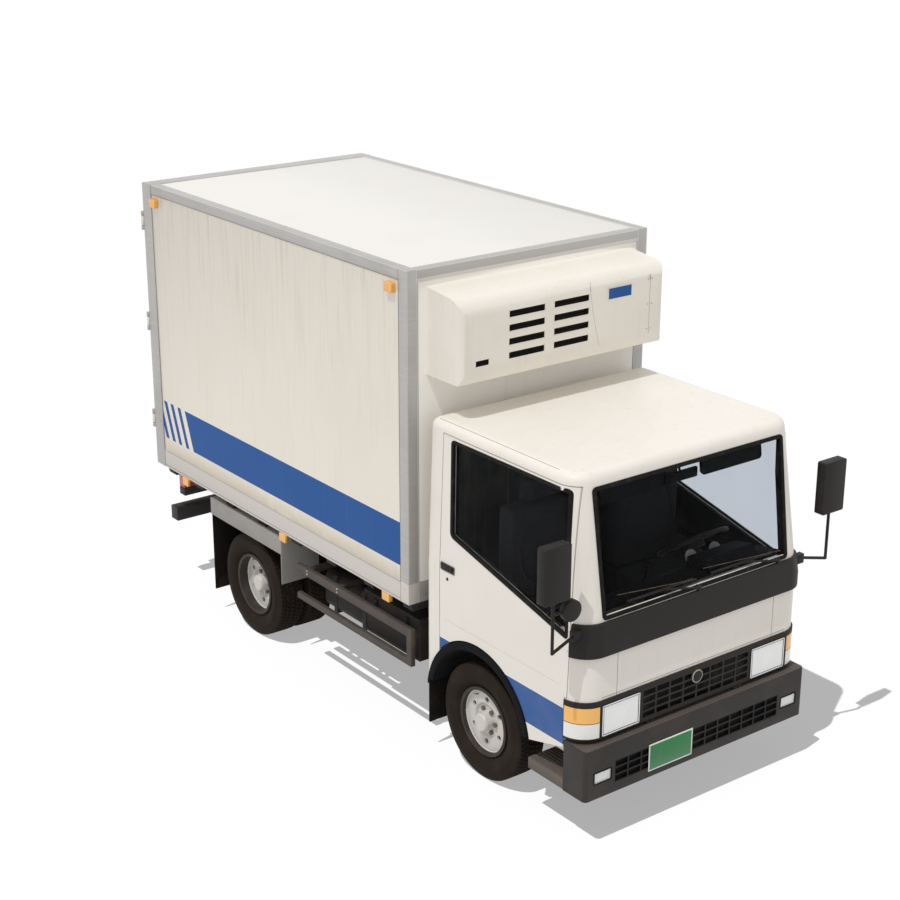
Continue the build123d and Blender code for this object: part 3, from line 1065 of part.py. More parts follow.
MIRROR_EDGE_R = 12.0
STEM_SINK = 10.0                # stem into the mirror's head
ROOT_FOOT = (14.0, 18.0, 28.0)  # bracket past the stem's root, half depth, half height
with BuildPart() as mirrors:
    mirror_rear = MIRROR_Y + MIRROR_DEPTH
    stem_y = MIRROR_Y + MIRROR_DEPTH / 2
    root_y = CAB_FRONT_Y + MIRROR_ROOT_BACK
    for sign in (-1, 1):
        block(mirrored(sign, MIRROR_X), (MIRROR_Y, mirror_rear), MIRROR_Z)
    fillet(mirrors.edges().filter_by(Axis.Y), MIRROR_EDGE_R)
    for sign in (-1, 1):
        elbow = (sign * MIRROR_STEM_X, stem_y, MIRROR_ARM_Z)
        root = (sign * MIRROR_ROOT_X, root_y, MIRROR_ROOT_Z)
        rod(elbow, (sign * MIRROR_STEM_X, stem_y, MIRROR_Z[0] + STEM_SINK), MIRROR_TUBE_R)
        rod(elbow, root, MIRROR_TUBE_R)
        with Locations(elbow):
            Sphere(MIRROR_TUBE_R)
        block(mirrored(sign, (CAB_HALF - CAB_CORNER_R / 2, MIRROR_ROOT_X + ROOT_FOOT[0])),
              (root_y - ROOT_FOOT[1], root_y + ROOT_FOOT[1]),
              (MIRROR_ROOT_Z - ROOT_FOOT[2], MIRROR_ROOT_Z + ROOT_FOOT[2]))
    add(belt_panel.part, mode=Mode.SUBTRACT)
    add(outer_skin, mode=Mode.SUBTRACT)
    disc_y = stem_y - 8
    rod((-ROUND_MIRROR_X, disc_y - ROUND_MIRROR_DEPTH / 2, ROUND_MIRROR_Z),
        (-ROUND_MIRROR_X, disc_y + ROUND_MIRROR_DEPTH / 2, ROUND_MIRROR_Z), ROUND_MIRROR_R)
    rod((-ROUND_MIRROR_X, disc_y, ROUND_MIRROR_Z), (-MIRROR_STEM_X, stem_y, ROUND_MIRROR_Z), MIRROR_TUBE_R)
save(mirrors, "mirrors")

# ------------------------------------------------------------------ insulated box
wall_rear_y = BOX_REAR_Y - REAR_POST
with BuildPart() as box_floor:
    block((-BOX_HALF + BOX_WALL, BOX_HALF - BOX_WALL), (BOX_FRONT_Y + BOX_WALL, wall_rear_y),
          (BOX_LOW_Z, BOX_LOW_Z + BOX_FLOOR))
save(box_floor, "box_floor")

with BuildPart() as box_sides:
    for sign in (-1, 1):
        block(mirrored(sign, (BOX_HALF - BOX_WALL, BOX_HALF)), (BOX_FRONT_Y, wall_rear_y), (BOX_LOW_Z,
                                                                                            BOX_TOP_Z))
        block(mirrored(sign, (BOX_HALF - PANEL_RECESS, BOX_HALF)), (BOX_FRONT_Y + FRONT_POST, wall_rear_y),
              (BOX_LOW_Z + LOW_RAIL, BOX_TOP_Z - TOP_RAIL), mode=Mode.SUBTRACT)
save(box_sides, "box_sides")

with BuildPart() as box_front_wall:
    inner = BOX_HALF - BOX_WALL
    block((-inner, inner), (BOX_FRONT_Y, BOX_FRONT_Y + BOX_WALL), (BOX_LOW_Z, BOX_TOP_Z - BOX_WALL))
    block((-inner + 6, inner - 6), (BOX_FRONT_Y, BOX_FRONT_Y + PANEL_RECESS),
          (BOX_LOW_Z + LOW_RAIL, BOX_TOP_Z), mode=Mode.SUBTRACT)
save(box_front_wall, "box_front_wall")

with BuildPart() as box_roof:
    block((-inner, inner), (BOX_FRONT_Y, wall_rear_y), (BOX_TOP_Z - BOX_WALL, BOX_TOP_Z))
    block((-inner, inner), (BOX_FRONT_Y + 60, wall_rear_y), (BOX_TOP_Z - PANEL_RECESS, BOX_TOP_Z),
          mode=Mode.SUBTRACT)
save(box_roof, "box_roof")

portal_low = BOX_LOW_Z + BOX_FLOOR
portal_high = BOX_TOP_Z - PORTAL_TOP
portal_half = BOX_HALF - PORTAL_POST
door_front = BOX_REAR_Y - BOX_DOOR_THICK
lip_rear = door_front - RUNNING_GAP
pin_y = BOX_REAR_Y + PIN_BACK
with BuildPart() as box_rear_frame:
    block((-BOX_HALF, BOX_HALF), (wall_rear_y, BOX_REAR_Y), (BOX_LOW_Z, BOX_TOP_Z))
    block((-portal_half, portal_half), (wall_rear_y, BOX_REAR_Y), (portal_low, portal_high),
          mode=Mode.SUBTRACT)
    for sign in (-1, 1):
        block(mirrored(sign, (portal_half - PORTAL_LIP, portal_half)), (wall_rear_y, lip_rear),
              (portal_low, portal_high))
        for height in STRAP_HEIGHTS:
            for low, high in ((-STRAP_HALF - BARREL_LENGTH, -STRAP_HALF - RUNNING_GAP),
                              (STRAP_HALF + RUNNING_GAP, STRAP_HALF + BARREL_LENGTH)):
                rod((sign * BOX_HALF, pin_y, height + low), (sign * BOX_HALF, pin_y, height + high),
                    BARREL_RADIUS)
                block(mirrored(sign, (BOX_HALF - BARREL_RADIUS, BOX_HALF)), (BOX_REAR_Y, pin_y),
                      (height + low, height + high))
            pin_reach = STRAP_HALF + BARREL_LENGTH
            rod((sign * BOX_HALF, pin_y, height - pin_reach), (sign * BOX_HALF, pin_y,
                                                               height + pin_reach), PIN_RADIUS)
save(box_rear_frame, "box_rear_frame")

for side, sign in SIDES:
    panel = mirrored(sign, (BOX_DOOR_MEET, portal_half - RUNNING_GAP))
    with BuildPart() as box_door:
        block(panel, (door_front, BOX_REAR_Y), (portal_low + RUNNING_GAP, portal_high - RUNNING_GAP))
        for height in STRAP_HEIGHTS:
            strap_y = (pin_y - STRAP_THICK + 2, pin_y + 2)
            strap_z = (height - STRAP_HALF, height + STRAP_HALF)
            block(mirrored(sign, (BOX_HALF - STRAP_LENGTH, BOX_HALF)), strap_y, strap_z)
            block(mirrored(sign, (BOX_HALF - STRAP_LENGTH, portal_half - RUNNING_GAP)),
                  (BOX_REAR_Y, strap_y[0]), strap_z)
            barrel = ((sign * BOX_HALF, pin_y, strap_z[0]), (sign * BOX_HALF, pin_y, strap_z[1]))
            rod(*barrel, BARREL_RADIUS)
            rod(*barrel, PIN_RADIUS + SEAT_GAP, mode=Mode.SUBTRACT)
        for rod_x in LOCK_ROD_X:
            rod_y = BOX_REAR_Y + LOCK_ROD_OUT
            rod((sign * rod_x, rod_y, portal_low + LOCK_ROD_END),
                (sign * rod_x, rod_y, portal_high - LOCK_ROD_END), LOCK_ROD_R)
            for height in KEEPER_HEIGHTS:
                block(mirrored(sign, (rod_x - KEEPER_HALF[0], rod_x + KEEPER_HALF[0])), (BOX_REAR_Y, REAR_Y),
                      (height - KEEPER_HALF[1], height + KEEPER_HALF[1]))
        block(mirrored(sign, (LOCK_ROD_X[0], LOCK_ROD_X[0] + LOCK_HANDLE)), (BOX_REAR_Y + HANDLE_OUT, REAR_Y),
              LOCK_HANDLE_Z)
    save(box_door, f"box_door_{side}")

# ------------------------------------------------------------------ cooling unit and marker lamps
with BuildPart() as cooling_unit:
    face_y = BOX_FRONT_Y - UNIT_DEPTH
    unit_back = BOX_FRONT_Y + PANEL_RECESS
    with BuildSketch(Plane.YZ.offset(-UNIT_HALF)) as profile:
        with BuildLine():
            Polyline((unit_back, UNIT_Z[1]), (unit_back, UNIT_Z[0]),
                     (face_y + UNIT_CHAMFER[0], UNIT_Z[0]), (face_y, UNIT_Z[0] + UNIT_CHAMFER[1]),
                     (face_y, UNIT_Z[1] - UNIT_TOP_FALL), close=True)
        make_face()
        fillet(profile.vertices().sort_by(lambda v: v.Y - v.X)[-1], UNIT_TOP_R)
    extrude(amount=2 * UNIT_HALF)
    with BuildSketch(Plane.XY.offset(UNIT_Z[0] - CUT_REACH)) as plan:
        with Locations((0, (face_y + unit_back) / 2)):
            Rectangle(2 * UNIT_HALF, unit_back - face_y)
        fillet(plan.vertices().group_by(Axis.Y)[0], UNIT_CORNER_R)
    extrude(plan.sketch, amount=UNIT_Z[1] - UNIT_Z[0] + 2 * CUT_REACH, mode=Mode.INTERSECT)
    for left, width, top, height, rows in UNIT_SLOTS:
        for i in range(rows):
            slot_top = top - UNIT_SLOT_PITCH * i
            block((left, left + width), (face_y - 5, face_y + UNIT_SLOT_DEPTH), (slot_top - height,
                                                                                 slot_top),
                  mode=Mode.SUBTRACT)
save(cooling_unit, "cooling_unit")

with BuildPart() as marker_lamps:
    for sign in (-1, 1):
        for back, low_z, near, far in MARKERS:
            y = BOX_FRONT_Y + back
            block(mirrored(sign, (near, far)), (y, y + MARKER[0]), (low_z, low_z + MARKER[1]))
save(marker_lamps, "marker_lamps")
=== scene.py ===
"""Refrigerated truck: finishes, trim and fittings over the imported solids.

Lengths are millimetres in the truck's own frame, X to its left, Y to its rear and Z up from the
ground, and one step turns each finished mesh to metres.
"""

import logging
from dataclasses import dataclass
from enum import Enum
from math import cos, pi, radians, sin
from typing import Iterable, Sequence, Union

import bmesh
import bpy
from mathutils import Matrix, Quaternion, Vector


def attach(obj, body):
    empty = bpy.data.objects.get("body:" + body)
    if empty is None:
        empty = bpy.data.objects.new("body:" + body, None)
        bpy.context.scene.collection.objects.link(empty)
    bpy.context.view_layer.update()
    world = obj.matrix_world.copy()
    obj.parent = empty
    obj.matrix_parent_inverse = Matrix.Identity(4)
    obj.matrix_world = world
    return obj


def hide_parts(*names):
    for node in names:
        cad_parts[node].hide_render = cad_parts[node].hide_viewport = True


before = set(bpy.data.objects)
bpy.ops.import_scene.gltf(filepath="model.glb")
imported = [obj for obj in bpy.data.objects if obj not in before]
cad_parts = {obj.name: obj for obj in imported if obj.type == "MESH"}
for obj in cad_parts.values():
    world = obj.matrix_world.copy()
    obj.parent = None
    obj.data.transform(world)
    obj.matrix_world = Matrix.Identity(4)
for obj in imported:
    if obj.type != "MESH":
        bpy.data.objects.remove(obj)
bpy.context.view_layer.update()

log = logging.getLogger("truck")

MM = 0.001                      # metres in a millimetre
SIDES = (("right", -1), ("left", 1))
Point = Sequence[float]
Value = Union[float, Sequence[float], bpy.types.NodeSocket]

# driving dimensions, shared by several sub-assemblies
TYRE_RADIUS = 354.0
FRONT_AXLE_Y = -1359.0
REAR_AXLE_Y = 1091.0
FRONT_WHEEL_X = 717.5
REAR_WHEEL_X = (758.5, 528.5)
CAB_FRONT_Y = -2253.0
CAB_HALF = 845.0
BELT_Z = 1200.0
CAB_CORNER_R = 140.0
SIDE_LEAN = 0.0372              # inward lean of the cab's sides above the belt, per unit height
FRONT_RAKE = 0.14769            # rearward rake of the cab's front above the belt
BOX_HALF = 900.0
BOX_FRONT_Y = -777.0
BOX_REAR_Y = 2276.0
BOX_TOP_Z = 2913.0
POST_WIDTH = 80.0               # the box's front posts, seen from the side
LINE_SINK = 1.0                 # joint lines, into the frame and out of it
LINE_PROUD = 0.5
PANEL_HALF = 896.0


# ------------------------------------------------------------------ finishes
def linear(code: str) -> tuple[float, float, float, float]:
    """Turns an sRGB hex colour to linear light.

    Args:
        code: Six hex digits after a hash.

    Returns:
        Linear red, green and blue, and an alpha of 1.
    """
    parts = [int(code[i:i + 2], 16) / 255 for i in (1, 3, 5)]
    light = [c / 12.92 if c <= 0.04045 else ((c + 0.055) / 1.055) ** 2.4 for c in parts]
    return (*light, 1.0)


def add_node(
    tree: bpy.types.NodeTree, kind: str, inputs: dict[int | str, Value] | None = None, **settings: object
) -> bpy.types.Node:
    """Adds one node, with its settings, its values and its links.

    Args:
        tree: The tree that the node goes in.
        kind: The node's type name.
        inputs: For each socket's name or number, a constant or the output that feeds it.
        **settings: The node's own properties.

    Returns:
        The new node.
    """
    node = tree.nodes.new(kind)
    for name, value in settings.items():
        setattr(node, name, value)
    for key, value in (inputs or {}).items():
        if isinstance(value, bpy.types.NodeSocket):
            tree.links.new(value, node.inputs[key])
        else:
            node.inputs[key].default_value = value
    return node


@dataclass(frozen=True)
class Coat:
    """A colour with its sheen: sRGB hex, roughness and how metallic it is."""

    colour: str
    roughness: float
    metallic: float = 0.0


@dataclass(frozen=True)
class Cut:
    """A half space: x·|X| + y·Y + z·Z is less than limit, in millimetres."""

    x: float
    y: float
    z: float
    limit: float


@dataclass(frozen=True)
class Around:
    """A ring about an axle line: the line's Y and Z, and the radii that it lies between, in millimetres."""

    y: float
    z: float
    near: float
    far: float


@dataclass(frozen=True)
class Region:
    """A stretch of a solid that has another coat, where all the cuts hold."""

    coat: Coat
    cuts: tuple[Cut | Around, ...]


class Pattern(Enum):
    """How making or age shows on a surface; each value stretches the pattern along X, Y and Z."""

    CLOUDS = (1.0, 1.0, 1.0)
    RUNS = (1.0, 1.0, 0.045)
    BRUSHED = (0.02, 0.02, 1.0)


@dataclass(frozen=True)
class Mark:
    """What age or making leaves on a coat.

    Attributes:
        coat: The mark's own colour and sheen.
        size: The spacing of its patches, in millimetres.
        start: Pattern value at which it begins to show.
        full: Pattern value at which it is whole.
        strength: How much of the coat below it hides.
        pattern: How it is stretched.
        fade: Height where it is whole and height where it has gone.
        cuts: Where it can lie.
    """

    coat: Coat
    size: float
    start: float
    full: float
    strength: float = 1.0
    pattern: Pattern = Pattern.CLOUDS
    fade: tuple[float, float] | None = None
    cuts: tuple[Cut | Around, ...] = ()


@dataclass(frozen=True)
class Relief:
    """Fine unevenness: its spacing and depth in millimetres, and how it is stretched."""

    size: float
    depth: float
    pattern: Pattern = Pattern.CLOUDS


def inside(tree: bpy.types.NodeTree, place: bpy.types.NodeSocket, cuts: Iterable[Cut | Around]) -> Value:
    """Makes a mask that is 1 where all the cuts hold.

    Args:
        tree: The tree that the mask goes in.
        place: The mirrored position, in millimetres.
        cuts: The half spaces and rings.

    Returns:
        The mask's output, or 1 where there is no cut.
    """
    mask: Value = 1.0
    for cut in cuts:
        if isinstance(cut, Around):
            offset = add_node(
                tree, "ShaderNodeVectorMath", {0: place, 1: (0.0, cut.y, cut.z)}, operation="SUBTRACT"
            ).outputs[0]
            flat = add_node(
                tree, "ShaderNodeVectorMath", {0: offset, 1: (0.0, 1.0, 1.0)}, operation="MULTIPLY"
            )
            length = add_node(tree, "ShaderNodeVectorMath", {0: flat.outputs[0]}, operation="LENGTH")
            middle, half = (cut.near + cut.far) / 2, (cut.far - cut.near) / 2
            side = add_node(
                tree, "ShaderNodeMath", {0: length.outputs["Value"], 1: middle, 2: half}, operation="COMPARE"
            )
            mask = add_node(
                tree, "ShaderNodeMath", {0: side.outputs[0], 1: mask}, operation="MULTIPLY"
            ).outputs[0]
            continue
        reach = add_node(
            tree, "ShaderNodeVectorMath", {0: place, 1: (cut.x, cut.y, cut.z)}, operation="DOT_PRODUCT"
        )
        side = add_node(
            tree, "ShaderNodeMath", {0: reach.outputs["Value"], 1: cut.limit}, operation="LESS_THAN"
        )
        mask = add_node(
            tree, "ShaderNodeMath", {0: side.outputs[0], 1: mask}, operation="MULTIPLY"
        ).outputs[0]
    return mask


@dataclass
class Layers:
    """The colour, roughness and metallic of a surface while coats are laid over each other."""

    tree: bpy.types.NodeTree
    colour: Value
    roughness: Value
    metallic: Value

    def lay(self, coat: Coat, mask: Value) -> None:
        """Lays a coat over what is there, where the mask is 1."""
        self.colour = add_node(
            self.tree, "ShaderNodeMix", {0: mask, 6: self.colour, 7: linear(coat.colour)}, data_type="RGBA"
        ).outputs[2]
        self.roughness = add_node(
            self.tree, "ShaderNodeMix", {0: mask, 2: self.roughness, 3: coat.roughness}
        ).outputs[0]
        self.metallic = add_node(
            self.tree, "ShaderNodeMix", {0: mask, 2: self.metallic, 3: coat.metallic}
        ).outputs[0]


@dataclass(frozen=True)
class Finish:
    """A real material with its surface and its age.

    Attributes:
        name: The material in a maker's words.
        coat: The colour and sheen when new.
        under: Marks on the first coat only, laid before the regions.
        regions: Stretches of the same solid with another coat.
        marks: Dust, dirt, runs, rust and cast in the order that they lie.
        reliefs: Unevenness that catches the light.
        flutes: Spacing of moulded ribs, in millimetres, or 0.
        clear: How much light goes through.
        varnish: Weight of a clear coat.
        shine: How strongly it mirrors, 0.5 when clean; dust dulls it.
        ior: How much it bends light; metals keep the default.
        glow: Centre, in X and Z, and radius of a painted highlight, a white patch fading outwards that stands
            for a reflector's shine seen through a lens.
    """

    name: str
    coat: Coat
    under: tuple[Mark, ...] = ()
    regions: tuple[Region, ...] = ()
    marks: tuple[Mark, ...] = ()
    reliefs: tuple[Relief, ...] = ()
    flutes: float = 0.0
    flute_depth: float = 0.6
    clear: float = 0.0
    varnish: float = 0.0
    shine: float = 0.5
    ior: float = 1.5
    glow: tuple[float, float, float] | None = None

    def material(self) -> bpy.types.Material:
        """Builds the material once.

        Returns:
            The material, new or as it was built before.
        """
        if self.name in bpy.data.materials:
            return bpy.data.materials[self.name]
        material = bpy.data.materials.new(self.name)
        material.use_nodes = True
        tree = material.node_tree
        shader = tree.nodes["Principled BSDF"]
        coords = add_node(tree, "ShaderNodeTexCoord")
        place = add_node(
            tree, "ShaderNodeVectorMath", {0: coords.outputs["Object"], "Scale": 1 / MM}, operation="SCALE"
        ).outputs[0]
        split = add_node(tree, "ShaderNodeSeparateXYZ", {0: place})
        half = add_node(tree, "ShaderNodeMath", {0: split.outputs[0]}, operation="ABSOLUTE")
        mirrored = add_node(
            tree, "ShaderNodeCombineXYZ", {0: half.outputs[0], 1: split.outputs[1], 2: split.outputs[2]}
        ).outputs[0]
        layers = Layers(tree, linear(self.coat.colour), self.coat.roughness, self.coat.metallic)
        for mark in self.under:
            layers.lay(mark.coat, self._mark_mask(tree, place, mirrored, mark))
        for region in self.regions:
            layers.lay(region.coat, inside(tree, mirrored, region.cuts))
        # painted highlight: a white patch over the lens where the reflector would shine
        if self.glow:
            layers.lay(PAINTED_REFLECTOR_HIGHLIGHT, self._painted_highlight_mask(tree, mirrored))
        for mark in self.marks:
            layers.lay(mark.coat, self._mark_mask(tree, place, mirrored, mark))
        for socket, value in (
            ("Base Color", layers.colour), ("Roughness", layers.roughness), ("Metallic", layers.metallic)
        ):
            if isinstance(value, bpy.types.NodeSocket):
                tree.links.new(value, shader.inputs[socket])
            else:
                shader.inputs[socket].default_value = value
        shader.inputs["Specular IOR Level"].default_value = self.shine
        shader.inputs["IOR"].default_value = self.ior
        shader.inputs["Transmission Weight"].default_value = self.clear
        shader.inputs["Coat Weight"].default_value = self.varnish
        self._relief(tree, place, mirrored, shader)
        return material

    def _painted_highlight_mask(self, tree: bpy.types.NodeTree, mirrored: bpy.types.NodeSocket) -> bpy.types.NodeSocket:
        """Makes the mask of the painted highlight, fading from the reflector's centre outwards, and returns
        its output.
        """
        centre_x, centre_z, radius = self.glow
        offset = add_node(
            tree, "ShaderNodeVectorMath", {0: mirrored, 1: (centre_x, 0.0, centre_z)}, operation="SUBTRACT"
        )
        flat = add_node(
            tree, "ShaderNodeVectorMath", {0: offset.outputs[0], 1: (1.0, 0.0, 1.0)}, operation="MULTIPLY"
        )
        length = add_node(tree, "ShaderNodeVectorMath", {0: flat.outputs[0]}, operation="LENGTH")
        return add_node(
            tree,
            "ShaderNodeMapRange",
            {"Value": length.outputs["Value"], "From Min": radius, "From Max": radius * 0.3},
            interpolation_type="SMOOTHSTEP",
        ).outputs[0]

    def _mark_mask(
        self,
        tree: bpy.types.NodeTree,
        place: bpy.types.NodeSocket,
        mirrored: bpy.types.NodeSocket,
        mark: Mark,
    ) -> Value:
        """Makes the mask of one mark.

        Args:
            tree: The material's tree.
            place: Position in millimetres.
            mirrored: The same with the size of X.
            mark: The mark.

        Returns:
            The mask's output.
        """
        pattern = noise_of(tree, place, mark.size, mark.pattern)
        spread = add_node(
            tree,
            "ShaderNodeMapRange",
            {"Value": pattern, "From Min": mark.start, "From Max": mark.full, "To Max": mark.strength},
        ).outputs[0]
        if mark.fade:
            height = add_node(tree, "ShaderNodeSeparateXYZ", {0: place}).outputs[2]
            low = add_node(
                tree,
                "ShaderNodeMapRange",
                {"Value": height, "From Min": mark.fade[1], "From Max": mark.fade[0]},
            ).outputs[0]
            spread = add_node(tree, "ShaderNodeMath", {0: spread, 1: low}, operation="MULTIPLY").outputs[0]
        if mark.cuts:
            there = inside(tree, mirrored, mark.cuts)
            spread = add_node(tree, "ShaderNodeMath", {0: spread, 1: there}, operation="MULTIPLY").outputs[0]
        return spread

    def _relief(
        self,
        tree: bpy.types.NodeTree,
        place: bpy.types.NodeSocket,
        mirrored: bpy.types.NodeSocket,
        shader: bpy.types.Node,
    ) -> None:
        """Links the reliefs and the flutes, one bump over another, to the shader's normal."""
        normal: dict[str, bpy.types.NodeSocket] = {}
        for relief in self.reliefs:
            height = noise_of(tree, place, relief.size, relief.pattern)
            bump = add_node(
                tree, "ShaderNodeBump", {"Height": height, "Distance": relief.depth * MM, **normal}
            )
            normal = {"Normal": bump.outputs[0]}
        if self.flutes:
            along = add_node(
                tree, "ShaderNodeVectorMath", {0: mirrored, 1: (1.0, -1.0, 0.0)}, operation="DOT_PRODUCT"
            )
            turn = add_node(
                tree,
                "ShaderNodeMath",
                {0: along.outputs["Value"], 1: 2 * pi / self.flutes},
                operation="MULTIPLY",
            )
            wave = add_node(tree, "ShaderNodeMath", {0: turn.outputs[0]}, operation="SINE")
            bump = add_node(
                tree,
                "ShaderNodeBump",
                {"Height": wave.outputs[0], "Distance": self.flute_depth * MM, **normal},
            )
            normal = {"Normal": bump.outputs[0]}
        if normal:
            tree.links.new(normal["Normal"], shader.inputs["Normal"])


def noise_of(
    tree: bpy.types.NodeTree, place: bpy.types.NodeSocket, size: float, pattern: Pattern
) -> bpy.types.NodeSocket:
    """Makes cloudy noise with patches of a real size.

    Args:
        tree: The tree it goes in.
        place: Position in millimetres.
        size: Spacing of the patches in millimetres.
        pattern: How the patches are stretched.

    Returns:
        The noise, about 0.5 on average.
    """
    scaled = add_node(
        tree,
        "ShaderNodeVectorMath",
        {0: place, 1: tuple(stretch / size for stretch in pattern.value)},
        operation="MULTIPLY",
    )
    return add_node(
        tree, "ShaderNodeTexNoise", {"Vector": scaled.outputs[0], "Scale": 1.0, "Detail": 3.0}
    ).outputs["Fac"]


ROAD_DUST = Coat("#8C7A64", 0.9)
ROAD_SPLASH = Coat("#5E5040", 0.9)
PALE_DUST = Coat("#D6CBB8", 0.7)
GREY_RUN = Coat("#B3A794", 0.6)
BROWN_RUN = Coat("#B79F7E", 0.7)
RUST = Coat("#7B4A2B", 0.9)
DARK_RUST = Coat("#4A2C1C", 0.9)
STRIPE_BLUE = Coat("#2C5A9C", 0.45)
TRIM_GREY = Coat("#141517", 0.8)
# near black: the dark joint in the corner lamps, and painted shade in deep recesses
BLACK_AND_PAINTED_SHADE = Coat("#0B0B0B", 0.8)
# white of the painted highlight in a headlamp's lens
PAINTED_REFLECTOR_HIGHLIGHT = Coat("#FFFFFF", 0.1)
LINING = Coat("#DAD8D2", 0.45)
PLATE_GREEN = Coat("#17783D", 0.3)
RIM_SHADE = Coat("#2E2925", 0.8)
FORGED_NUT = Coat("#6B625A", 0.6)

# where the cab's inner trim lies: behind the front, under the roof, ahead of the rear wall
INSIDE_CAB = (
    Cut(1.0, 0.0, 0.0, 820.0),
    Cut(1.0, 0.0, SIDE_LEAN, 820.0 + SIDE_LEAN * BELT_Z),
    Cut(0.0, -1.0, 0.0, -(CAB_FRONT_Y + 60.0)),
    Cut(0.0, -1.0, FRONT_RAKE, -(CAB_FRONT_Y + 60.0) + FRONT_RAKE * BELT_Z),
    Cut(1.0, -1.0, 0.0, 2980.0),
    Cut(1.0, -1.0, SIDE_LEAN + FRONT_RAKE, 2980.0 + (SIDE_LEAN + FRONT_RAKE) * BELT_Z),
    Cut(0.0, 1.0, 0.0, -902.0),
    Cut(0.0, 0.0, 1.0, 2047.0),
)
# the folded edge round the windscreen, just behind the outer skin
SCREEN_REVEAL = (
    Cut(1.0, 0.0, 0.0, 716.0),
    Cut(0.0, -1.0, FRONT_RAKE, -(CAB_FRONT_Y + 9.0) + FRONT_RAKE * BELT_Z),
    Cut(0.0, 1.0, 0.0, -2000.0),
    Cut(0.0, 0.0, -1.0, -1272.0),
    Cut(0.0, 0.0, 1.0, 2032.0),
)
ENAMEL_AGE = (
    Mark(PALE_DUST, 420.0, 0.45, 0.75, 0.14),
    Mark(GREY_RUN, 45.0, 0.56, 0.76, 0.12, Pattern.RUNS),
    Mark(ROAD_DUST, 90.0, 0.46, 0.66, 0.2, fade=(430.0, 700.0)),
    Mark(RUST, 12.0, 0.7, 0.74, 0.7, fade=(500.0, 1000.0)),
)

# gloss enamel over pressed steel: warm white and even, a faint film of dust, rust freckles at the sill
CAB_ENAMEL = Finish(
    "gloss_enamel_on_pressed_steel",
    Coat("#F1EBE2", 0.35),
    regions=(
        Region(TRIM_GREY, INSIDE_CAB),
        Region(TRIM_GREY, SCREEN_REVEAL),
        # the front below the belt line: painted shade, near black, in the recess behind the grille and the
        # lamps
        Region(BLACK_AND_PAINTED_SHADE, (Cut(0.0, 1.0, 0.0, -2210.0), Cut(0.0, 0.0, 1.0, 838.0))),
    ),
    marks=ENAMEL_AGE,
    reliefs=(Relief(260.0, 0.3),),
    shine=0.25,
)
# the same enamel with a sign painter's deep blue band along the foot of the door
DOOR_ENAMEL = Finish(
    "gloss_enamel_with_blue_band",
    Coat("#F1EBE2", 0.35),
    regions=(
        Region(
            STRIPE_BLUE,
            (Cut(-1.0, 0.0, 0.0, -838.0), Cut(0.0, 0.0, 1.0, 776.0), Cut(0.0, 0.0, -1.0, -561.0)),
        ),
        Region(TRIM_GREY, INSIDE_CAB[:2] + (Cut(0.0, -1.0, 0.0, 2040.0),)),
    ),
    marks=(Mark(PALE_DUST, 420.0, 0.45, 0.75, 0.1), Mark(RUST, 12.0, 0.7, 0.74, 0.6, fade=(430.0, 900.0))),
    reliefs=(Relief(260.0, 0.3),),
    shine=0.25,
)
ON_PANEL = (Cut(-1.0, 0.0, 0.0, -894.9), Cut(1.0, 0.0, 0.0, 897.2))
ALUMINIUM_AGE = (
    Mark(Coat("#8F8B86", 0.6, 0.2), 260.0, 0.5, 0.75, 0.2),
    Mark(Coat("#D4D1CD", 0.5, 0.2), 7.0, 0.5, 0.74, 0.25, Pattern.BRUSHED),
)
ALUMINIUM = Coat("#B7B5B2", 0.45, 0.3)
BOX_SKIN = Coat("#F2EADD", 0.42)
RAIN_FILM = (
    Mark(PALE_DUST, 520.0, 0.48, 0.76, 0.1, cuts=ON_PANEL),
    Mark(GREY_RUN, 24.0, 0.5, 0.76, 0.3, Pattern.RUNS, fade=(2860.0, 1900.0), cuts=ON_PANEL),
    Mark(BROWN_RUN, 20.0, 0.58, 0.76, 0.14, Pattern.RUNS, cuts=ON_PANEL),
    Mark(Coat("#B5A78F", 0.8), 240.0, 0.1, 0.4, 0.5, fade=(1040.0, 1150.0), cuts=ON_PANEL),
)
# glass-fibre skin, satin cream with faint rain runs, in dull extruded aluminium, paler along its foot
BOX_WALL = Finish(
    "satin_skin_in_extruded_aluminium",
    ALUMINIUM,
    under=ALUMINIUM_AGE,
    regions=(
        Region(Coat("#D5CFC7", 0.5, 0.1), (Cut(0.0, 0.0, 1.0, 1032.0),)),
        Region(BOX_SKIN, ON_PANEL),
        Region(LINING, (Cut(1.0, 0.0, 0.0, 830.0),)),
    ),
    marks=RAIN_FILM,
    reliefs=(Relief(420.0, 0.5),),
)
# the front skin: a whiter cream than the sides, painted light that offsets the shade under the unit
BOX_FRONT = Finish(
    "satin_front_skin_in_aluminium",
    ALUMINIUM,
    regions=(
        # the front face: a whiter coat, painted light against the shade under the unit
        Region(Coat("#FBF8F2", 0.42), (Cut(0.0, 1.0, 0.0, -771.5), Cut(0.0, -1.0, 0.0, 774.5))),
        Region(LINING, (Cut(0.0, -1.0, 0.0, 705.0),)),
    ),
    marks=(Mark(PALE_DUST, 520.0, 0.45, 0.72, 0.12), Mark(GREY_RUN, 38.0, 0.56, 0.78, 0.07, Pattern.RUNS)),
    reliefs=(Relief(420.0, 0.5),),
)
# the roof: whiter where the sun and the rain reach it
BOX_ROOF = Finish(
    "satin_roof_skin_in_aluminium",
    ALUMINIUM,
    regions=(
        Region(Coat("#E9E6E0", 0.42), (Cut(0.0, 0.0, -1.0, -2907.5), Cut(0.0, 0.0, 1.0, 2911.0))),
        Region(LINING, (Cut(0.0, 0.0, 1.0, 2860.0),)),
    ),
    marks=(Mark(PALE_DUST, 380.0, 0.48, 0.76, 0.1),),
    reliefs=(Relief(420.0, 0.5),),
)
